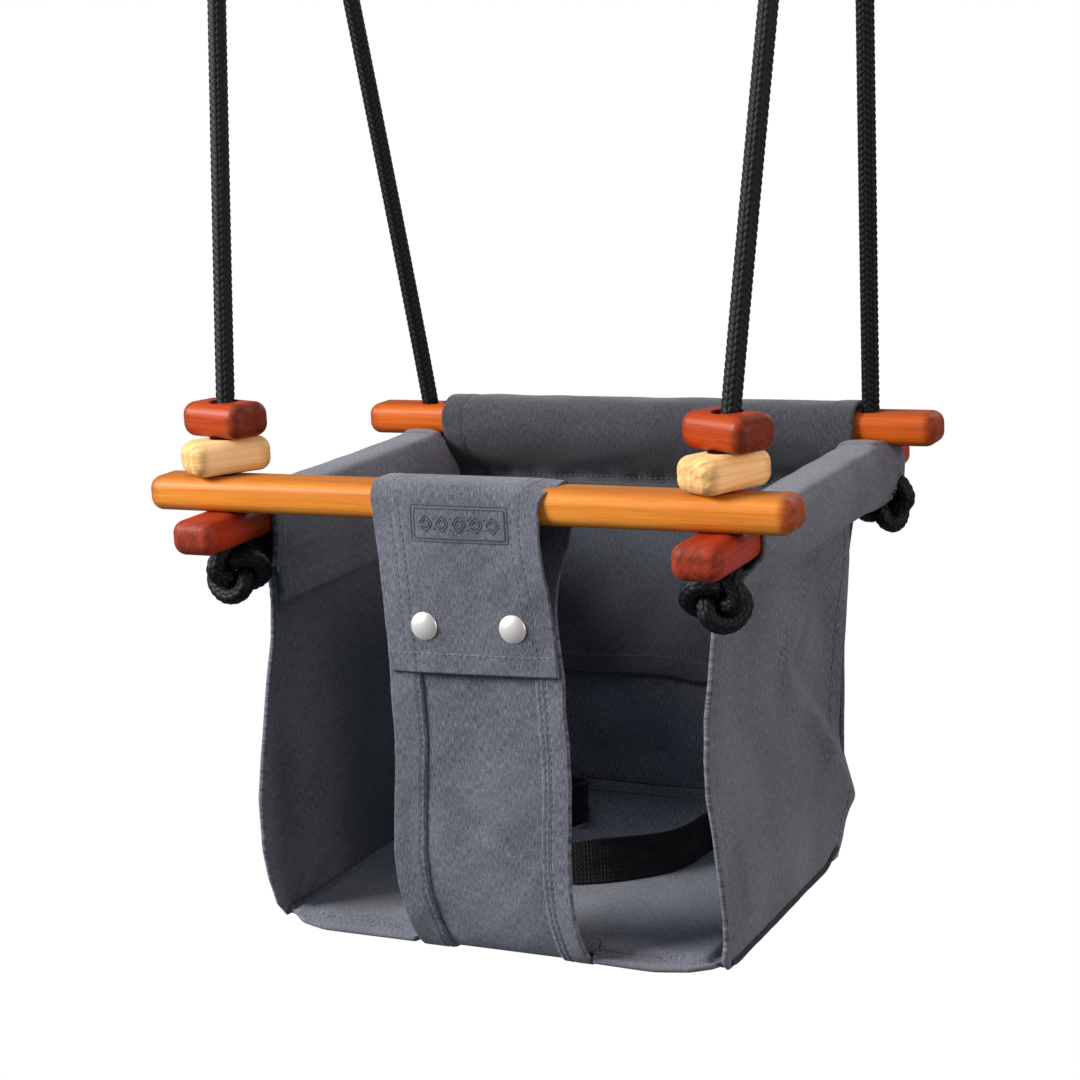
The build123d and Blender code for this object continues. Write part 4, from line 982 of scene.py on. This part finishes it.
# ---------------------------------------------------------------- crotch strap and flap
STRAP = [(-84.0, -240.6), (-112.5, -240.6), (-118.6, -238.6), (-123.4, -232.5), (-126.8, -222), (-129.4, -208),
         (-130.4, -190), (-130.6, -110), (-130.6, -58), (-127.8, -46), (-119.0, -32), (-108.6, -20), (-104.6, -8), (-104.4, 4), (-106.6, 9.4),
         (-112.5, 11.2), (-119.5, 11.35), (-126.5, 11.3), (-132.6, 9.8), (-134.9, 5.4)]
FLAP = [(-135.3, -2), (-135.3, -24), (-135.0, -62), (-134.9, -87.0)]


def strap_edges(y, z, front):
    # front: 1 on the flap side, 0 on the hanging side
    zl = [-236, -231, -219, -204, -185, -162, -125, -60, 0]
    xl = [-37.2, -37.6, -40.0, -42.6, -43.3, -41.2, -38.2, -39.5, -41.5]
    zr = [-236, -229.6, -215, -198, -180, -162, -141, -119, -100, -84, -60, -38, 0]
    xr = [59.6, 59.0, 57.4, 56.4, 56.4, 57.4, 59.2, 59.4, 58.4, 58.0, 55.6, 54.2, 55.0]
    l1, r1 = np.interp(z, zl, xl), np.interp(z, zr, xr)
    zf = [-88, -84, -66, -39, -30, -17, 3, 12]
    l2 = np.interp(z, zf, [-37.0, -37.2, -37.9, -39.0, -39.4, -40.4, -42.0, -41.8])
    r2 = np.interp(z, zf, [56.4, 56.2, 55.3, 53.3, 52.0, 50.8, 50.6, 54.2])
    return l1 * (1 - front) + l2 * front, r1 * (1 - front) + r2 * front


def strap():
    full = STRAP + FLAP
    L_all = along(full, None)
    sv_all = np.linspace(0, L_all, 1400)
    yz_all = along(full, sv_all)
    top = int(np.argmax(yz_all[:, 1] > 10.9))
    s_top = float(sv_all[top])                       # where the band reaches the top of the rail

    def part(name, s0, s1, nv, nu, thick, body, node, hem_end):
        sv = np.linspace(s0, s1, nv)
        yz = np.stack([np.interp(sv, sv_all, yz_all[:, k]) for k in range(2)], 1)
        y, z = yz[:, 0], yz[:, 1]
        front = smooth(-y, 108, 131) * (sv > s_top - 4)
        xl, xr = strap_edges(y, z, front)
        u = np.linspace(0, 1, nu)
        X = xl[:, None] + (xr - xl)[:, None] * u[None]
        dy, dz = np.gradient(y), np.gradient(z)
        ln = np.hypot(dy, dz)
        ny, nz = (-dz / ln)[:, None], (dy / ln)[:, None]   # toward the viewer on the rising part
        wl, wr = X - xl[:, None], xr[:, None] - X
        S = np.repeat(sv[:, None], nu, 1)
        Zs = np.repeat(z[:, None], nu, 1)
        rise = (S < s_top - 30)
        off = np.zeros_like(X)
        if body == "seat":
            lower = smooth(-Zs, 84, 100) * smooth(Zs, -238, -226) * rise
            # a slack diagonal crease, a soft ripple, and hems that lie a little forward
            off += lower * (1.1 * wob(X / 120, Zs / 170, 71))
            line = (Zs + 176) + 0.52 * (X - 8)
            off += 1.3 * lower * np.exp(-((line / 4.5) ** 2)) * smooth(X, -10, 5) * smooth(48 - X, 0, 14)
            off += -0.9 * lower * np.exp(-(((line - 8) / 6.0) ** 2)) * smooth(X, -10, 5) * smooth(48 - X, 0, 14)
            off += 1.5 * lower * np.exp(-((wl / 9.0) ** 2)) * (0.8 + 0.4 * np.sin(Zs / 15.0))
            off += 1.2 * lower * np.exp(-((wr / 8.0) ** 2)) * (0.8 + 0.4 * np.sin(Zs / 19.0 + 1))
            off = np.clip(off, -1.4, 2.6)
            # behind the flap it hugs the snaps
            off = off * smooth(-Zs, 82, 100)
            off += 3.4 * smooth(-wr, -16, 0) * np.exp(-(((S - s_top - 14) / 13.0) ** 2))
            # on the rear face of the rail the slack band stands off to the right
        else:
            fz = smooth(-Zs, -6, 10)
            off += fz * (0.55 * wob(X / 110, Zs / 110, 73) - 0.2)
            off += 1.7 * fz * smooth(-Zs, 20, 60) * np.exp(-((wr / 14.0) ** 2))
            off += 0.5 * fz * np.exp(-((wl / 10.0) ** 2))
            for sx in (-15.8, 33.9):
                off += -0.85 * np.exp(-(((X - sx) / 8.0) ** 2 + ((Zs + 62) / 8.0) ** 2))
                off += 0.35 * np.exp(-(((X - sx) / 3.0) ** 2)) * np.exp(-(((Zs + 44) / 12.0) ** 2))
            # the top right corner turns up off the rail
            turn = smooth(-wr, -16, 0) * np.exp(-(((S - s_top - 14) / 13.0) ** 2))
            off += 3.4 * turn
            off = np.clip(off, -1.0, 4.0)
        hl, hr = 17.0, 15.0
        th = thick + 0 * X
        fold_ = 0 * X
        if body == "seat":
            band = smooth(-Zs, 40, 70) * rise
            fold_ = band * (1.7 * (1 - smooth(wl, hl - 0.7, hl + 0.1)) + 1.4 * (1 - smooth(wr, hr - 0.7, hr + 0.1)))
            th = th + fold_
            th = th - 0.8 * band * (np.exp(-(((wl - hl + 2.2) / 0.8) ** 2)) + np.exp(-(((wr - hr + 2.0) / 0.8) ** 2)) + np.exp(-(((wr - hr + 5.2) / 0.8) ** 2)))
        else:
            th = th + 0.35 * ((1 - smooth(wl, 15.2, 16.4)) + (1 - smooth(wr, 15.2, 16.4))) * smooth(S, s_top, s_top + 10)
            for a in (10.2, 15.2):
                th = th - 0.28 * (np.exp(-(((wl - a) / 0.8) ** 2)) + np.exp(-(((wr - a) / 0.8) ** 2)))
            th = th + 0.5 * smooth(S, s1 - 10.5, s1 - 9.0)
            # cloth raised round the embroidery
            ex, ez = np.abs(X - 7.2) - 26.8, np.abs(Zs + 8.2) - 9.3
            rect = np.maximum(ex, ez)
            th = th - 0.30 * np.exp(-((rect / 1.6) ** 2)) + 0.25 * smooth(-rect, 0, 3)
        off = off + fold_ * 0.5
        Y = y[:, None] + ny * off
        Z = z[:, None] + nz * off
        if body != "seat":
            Z = Z + (0.9 + 2.0 * u[None]) * smooth(-Zs, 25, 86)
        mid = np.stack([X, Y, Z], 2)
        uv = np.stack([X / 1000 + 0.7, S / 1000 + 3.1], 2)
        o, n, face = cloth(name, mid, uv, th, body=body, replaces=(node,), ride=(body == "seat"))
        sgn = 1.0 if np.mean(n[nv // 2, :, 1]) < 0 else -1.0
        ff, fb = mid + n * sgn * th[..., None] / 2, mid - n * sgn * th[..., None] / 2

        def col_line(dist, off_, r0, r1, fc, nn_):
            pts, nos = [], []
            for r in range(r0, r1, 2):
                order = np.argsort(dist[r])
                jf = np.interp(off_, dist[r][order], order.astype(float))
                j0 = int(np.clip(math.floor(jf), 0, nu - 2))
                w = jf - j0
                pts.append(fc[r, j0] * (1 - w) + fc[r, j0 + 1] * w)
                nos.append(nn_[r, j0])
            return pts, nos

        if body == "seat":
            a0, a1 = int(np.argmin(np.abs(z + 238) + (sv > 150) * 99)), int(np.argmin(np.abs(z + 50) + (sv < 100) * 99))
            for dist, offs in ((wl, (hl - 2.2,)), (wr, (hr - 2.0, hr - 5.2))):
                for off_ in offs:
                    for fc, nn_ in ((ff, n * sgn), (fb, -n * sgn)):
                        stitch(*col_line(dist, off_, a0, a1, fc, nn_), body, "strap_seams", length=2.9)
        else:
            for dist in (wl, wr):
                for off_ in (10.2, 15.2):
                    stitch(*col_line(dist, off_, 6, nv - 3, ff, n * sgn), "flap_blend", "flap_seams", length=2.9, width=0.46, lift=0.04)
            kk = int(np.argmin(np.abs(sv - (s1 - 9.6))))
            stitch(ff[kk, 2:-2], n[kk, 2:-2] * sgn, "flap_blend", "flap_seams")
            stitch(fb[kk, 2:-2], -n[kk, 2:-2] * sgn, "flap_blend", "flap_seams")
        return o, mid, n * sgn, th, sv, X, Zs, ff

    s_join = s_top - 2.5
    part("crotch_strap_cloth", 0.0, s_join + 4.0, 280, 190, 1.75, "seat", "crotch_strap", False)
    o, mid, n, th, sv, X, Zs, ff = part("strap_flap_cloth", s_join - 1.5, L_all, 200, 150, 1.6, "flap", "strap_flap", True)
    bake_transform(o)
    return mid, n, th, sv, X, Zs, ff


f_mid, f_n, f_th, f_sv, f_X, f_Z, f_face = strap()


def on_flap(x, s_rows):
    """Face point and normal of the flap at x (mm) and profile distance."""
    r = np.interp(s_rows, f_sv, np.arange(len(f_sv), dtype=float))
    r0 = np.clip(np.floor(r).astype(int), 0, len(f_sv) - 2)
    w = (r - r0)[:, None]
    pts, nos = [], []
    for k in range(len(x)):
        row = f_face[r0[k]] * (1 - w[k]) + f_face[r0[k] + 1] * w[k]
        nr = f_n[r0[k]]
        xs = row[:, 0]
        pts.append([np.interp(x[k], xs, row[:, c]) for c in range(3)])
        nos.append([np.interp(x[k], xs, nr[:, c]) for c in range(3)])
    return np.array(pts), np.array(nos)


def row_of(z):
    fronts = f_sv > f_sv[np.argmax(f_Z[:, 0])] + 4
    zz = f_Z[:, 0][fronts]
    return np.interp(-np.asarray(z, float), -zz, f_sv[fronts])


def embroider(pts_xz, key="embroidery", width=0.85, closed=False):
    p = np.array(pts_xz, float)
    if closed:
        p = np.concatenate([p, p[:1]])
    d = np.concatenate([[0], np.cumsum(np.hypot(*np.diff(p, axis=0).T))])
    s = np.linspace(0, d[-1], max(3, int(d[-1] / 0.5)))
    x, z = np.interp(s, d, p[:, 0]), np.interp(s, d, p[:, 1])
    q, nn_ = on_flap(x, row_of(z))
    stitch(q, nn_, "flap_blend", key, length=1.25, gap=0.10, width=width, lift=0.10)


# A double-ruled box with a plain row of lozenges and dots worked in it.
x0, x1, zt, zb = -19.6, 34.0, 1.0, -17.4
for inset in (0.0, 1.7):
    embroider([(x0 + inset, zt - inset), (x1 - inset, zt - inset + 0.3), (x1 - inset, zb + inset + 0.2), (x0 + inset, zb + inset)], closed=True, width=0.72)
zc = (zt + zb) / 2
for i in range(5):
    cx = x0 + 8.2 + i * 9.35
    for k in (4.4, 2.6):
        embroider([(cx - k * 0.86, zc), (cx, zc + k), (cx + k * 0.86, zc), (cx, zc - k)], closed=True, width=0.8)
    if i < 4:
        for dz in (2.6, -2.6):
            embroider([(cx + 4.1, zc + dz), (cx + 4.7, zc + dz + 0.6), (cx + 5.3, zc + dz), (cx + 4.7, zc + dz - 0.6)], closed=True, width=0.8)

for (body, key), parts in STITCHES.items():
    base_i, V, F = 0, [], []
    for v, f in parts:
        V.append(v)
        F.append(f + base_i)
        base_i += len(v)
    blend_ = body == "flap_blend"
    # the back panel's seams take the thread copy with painted shade
    o = mesh(key + "_thread", np.concatenate(V), np.concatenate(F), EMB if key == "embroidery" else THREAD_PAINTED_SHADE if key == "back_seams" else THREAD, body=None if blend_ else body)
    if blend_:
        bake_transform(o)

# ---------------------------------------------------------------- snap caps


def snaps():
    V, F = [], []
    prof = [(0.0, 2.75), (1.2, 2.72), (2.6, 2.55), (4.0, 2.22), (5.2, 1.76), (6.2, 1.22), (6.9, 0.72), (7.25, 0.38), (7.42, 0.12), (7.40, -0.14), (7.2, -0.34), (6.7, -0.42), (0.0, -0.42)]
    seg = 64
    base_i = 0
    for sx, sz in ((-15.8, -61.6), (33.9, -60.4)):
        for r, h in prof:
            for j in range(seg):
                a = 2 * math.pi * j / seg
                dent = -0.05 * math.exp(-((r * math.cos(a) + 2.0) ** 2 + (r * math.sin(a) - 1.0) ** 2) / 5.0) if h > 0.2 else 0
                V.append((sx + r * math.cos(a), -136.25 - h - dent, sz + r * math.sin(a)))
        for i in range(len(prof) - 1):
            for j in range(seg):
                a0, a1 = base_i + i * seg + j, base_i + i * seg + (j + 1) % seg
                F.append((a0, a1, a1 + seg, a0 + seg))
        base_i += len(prof) * seg
    me = bpy.data.meshes.new("snap_domes")
    me.from_pydata(P(np.array(V)).tolist(), [], F)
    me.polygons.foreach_set("use_smooth", np.ones(len(me.polygons), bool))
    me.materials.append(NICKEL)
    import bmesh
    bm = bmesh.new()
    bm.from_mesh(me)
    bmesh.ops.remove_doubles(bm, verts=bm.verts, dist=1e-6)
    bmesh.ops.recalc_face_normals(bm, faces=bm.faces)
    bm.to_mesh(me)
    bm.free()
    o = bpy.data.objects.new("snap_domes", me)
    bpy.context.scene.collection.objects.link(o)
    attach(o, "flap")
    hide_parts("snap_caps")


snaps()

# ---------------------------------------------------------------- waist belt


def belt(name, pts, node, joint_end):
    L = along(np.array(pts, float), None)
    nv, nu = 220, 34
    sv = np.linspace(0, L, nv)
    xy = along(np.array(pts, float), sv)
    t = np.gradient(xy, axis=0)
    t /= np.linalg.norm(t, axis=1, keepdims=True)
    nrm = np.stack([t[:, 1], -t[:, 0]], 1)
    v = np.linspace(-12.2, 12.2, nu)
    S, V = np.meshgrid(sv, v, indexing="ij")
    free = smooth(S, 6, 30) * smooth(L - S, 6, 30)
    lean = 0.10 * np.sin(S / L * 2 * math.pi * 1.3 + (0.4 if joint_end else 1.9)) * free
    notch = np.exp(-(((S - L * 0.62) / 8.0) ** 2)) * free
    off = lean * V + 0.9 * wob(S / 260, V / 60, 83) * free + 1.6 * notch * np.sin(V / 5.0)
    X = xy[:, :1] + nrm[:, :1] * off
    Y = xy[:, 1:] + nrm[:, 1:] * off
    Z = -220.9 + V * (1 - 0.03 * notch) + free * (1.6 * np.sin(S / 17.0 + 0.5)) * smooth(V, -12, 12) - 3.4 * notch * smooth(V, 0, 12)
    Z = np.maximum(Z, -233.3)
    mid = np.stack([X, Y, Z], 2)
    th = 1.35 + 0.35 * np.exp(-(((np.abs(V) - 11.0) / 1.4) ** 2))
    uv = np.stack([(V + 12.2) / 1000, S / 1000], 2)
    cloth(name, mid, uv, th, mat=WEB, replaces=(node,), ride=not joint_end)
    if joint_end:
        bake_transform(bpy.data.objects[name])


belt("belt_right_ribbon", [(-0.5, -34), (12, -32.5), (28, -25), (42, -12), (54, 2), (60, 16), (62, 30), (66, 44), (76, 58), (92, 70), (108, 77), (125.5, 80.5)], "belt_right_webbing", False)
belt("belt_left_ribbon", [(-125.5, 80.5), (-100, 80), (-74, 79.5), (-50, 78.5), (-34, 77.5), (-26, 72), (-24.5, 63), (-31, 50), (-46, 28), (-58, 10), (-66, -6), (-68, -20), (-62, -30), (-54.3, -34)], "belt_left_webbing", True)

# ---------------------------------------------------------------- world, light




scene = bpy.context.scene
world = bpy.data.worlds.new("studio")
scene.world = world
world.use_nodes = True
wt = world.node_tree
wt.nodes.clear()
wo = wt.nodes.new("ShaderNodeOutputWorld")
seen, lit, mx = wt.nodes.new("ShaderNodeBackground"), wt.nodes.new("ShaderNodeBackground"), wt.nodes.new("ShaderNodeMixShader")
seen.inputs["Color"].default_value, seen.inputs["Strength"].default_value = (1, 1, 1, 1), 1.0
lit.inputs["Color"].default_value, lit.inputs["Strength"].default_value = (0.72, 0.86, 1.0, 1), 0.27
wt.links.new(wt.nodes.new("ShaderNodeLightPath").outputs["Is Camera Ray"], mx.inputs[0])
wt.links.new(lit.outputs[0], mx.inputs[1])
wt.links.new(seen.outputs[0], mx.inputs[2])
wt.links.new(mx.outputs[0], wo.inputs["Surface"])
scene.view_settings.view_transform = "Standard"
scene.view_settings.look = "None"
scene.view_settings.exposure = 0.0
scene.view_settings.gamma = 1.0


def area(name, loc, target, size, watts, colour=(1, 1, 1)):
    li = bpy.data.lights.new(name, "AREA")
    li.shape, li.size, li.energy, li.color = "DISK", size, watts, colour
    o = bpy.data.objects.new(name, li)
    scene.collection.objects.link(o)
    o.location = loc
    o.rotation_mode = "QUATERNION"
    o.rotation_quaternion = (Vector(target) - Vector(loc)).to_track_quat("-Z", "Y")


area("key", (-1.85, -1.50, 0.70), (0.18, 0, -0.70), 1.3, 162.0, (1.0, 0.975, 0.95))
area("side", (2.88, -0.55, -0.10), (0.25, 0, -0.70), 1.2, 42.0, (1.0, 0.77, 0.68))
area("top", (0.10, -0.20, 1.75), (0.18, 0, -0.70), 1.4, 13.0, (0.93, 0.96, 1.0))
area("rear", (0.9, 2.8, 0.9), (0.18, 0, -0.70), 1.4, 20.0, (1.0, 1.0, 1.0))
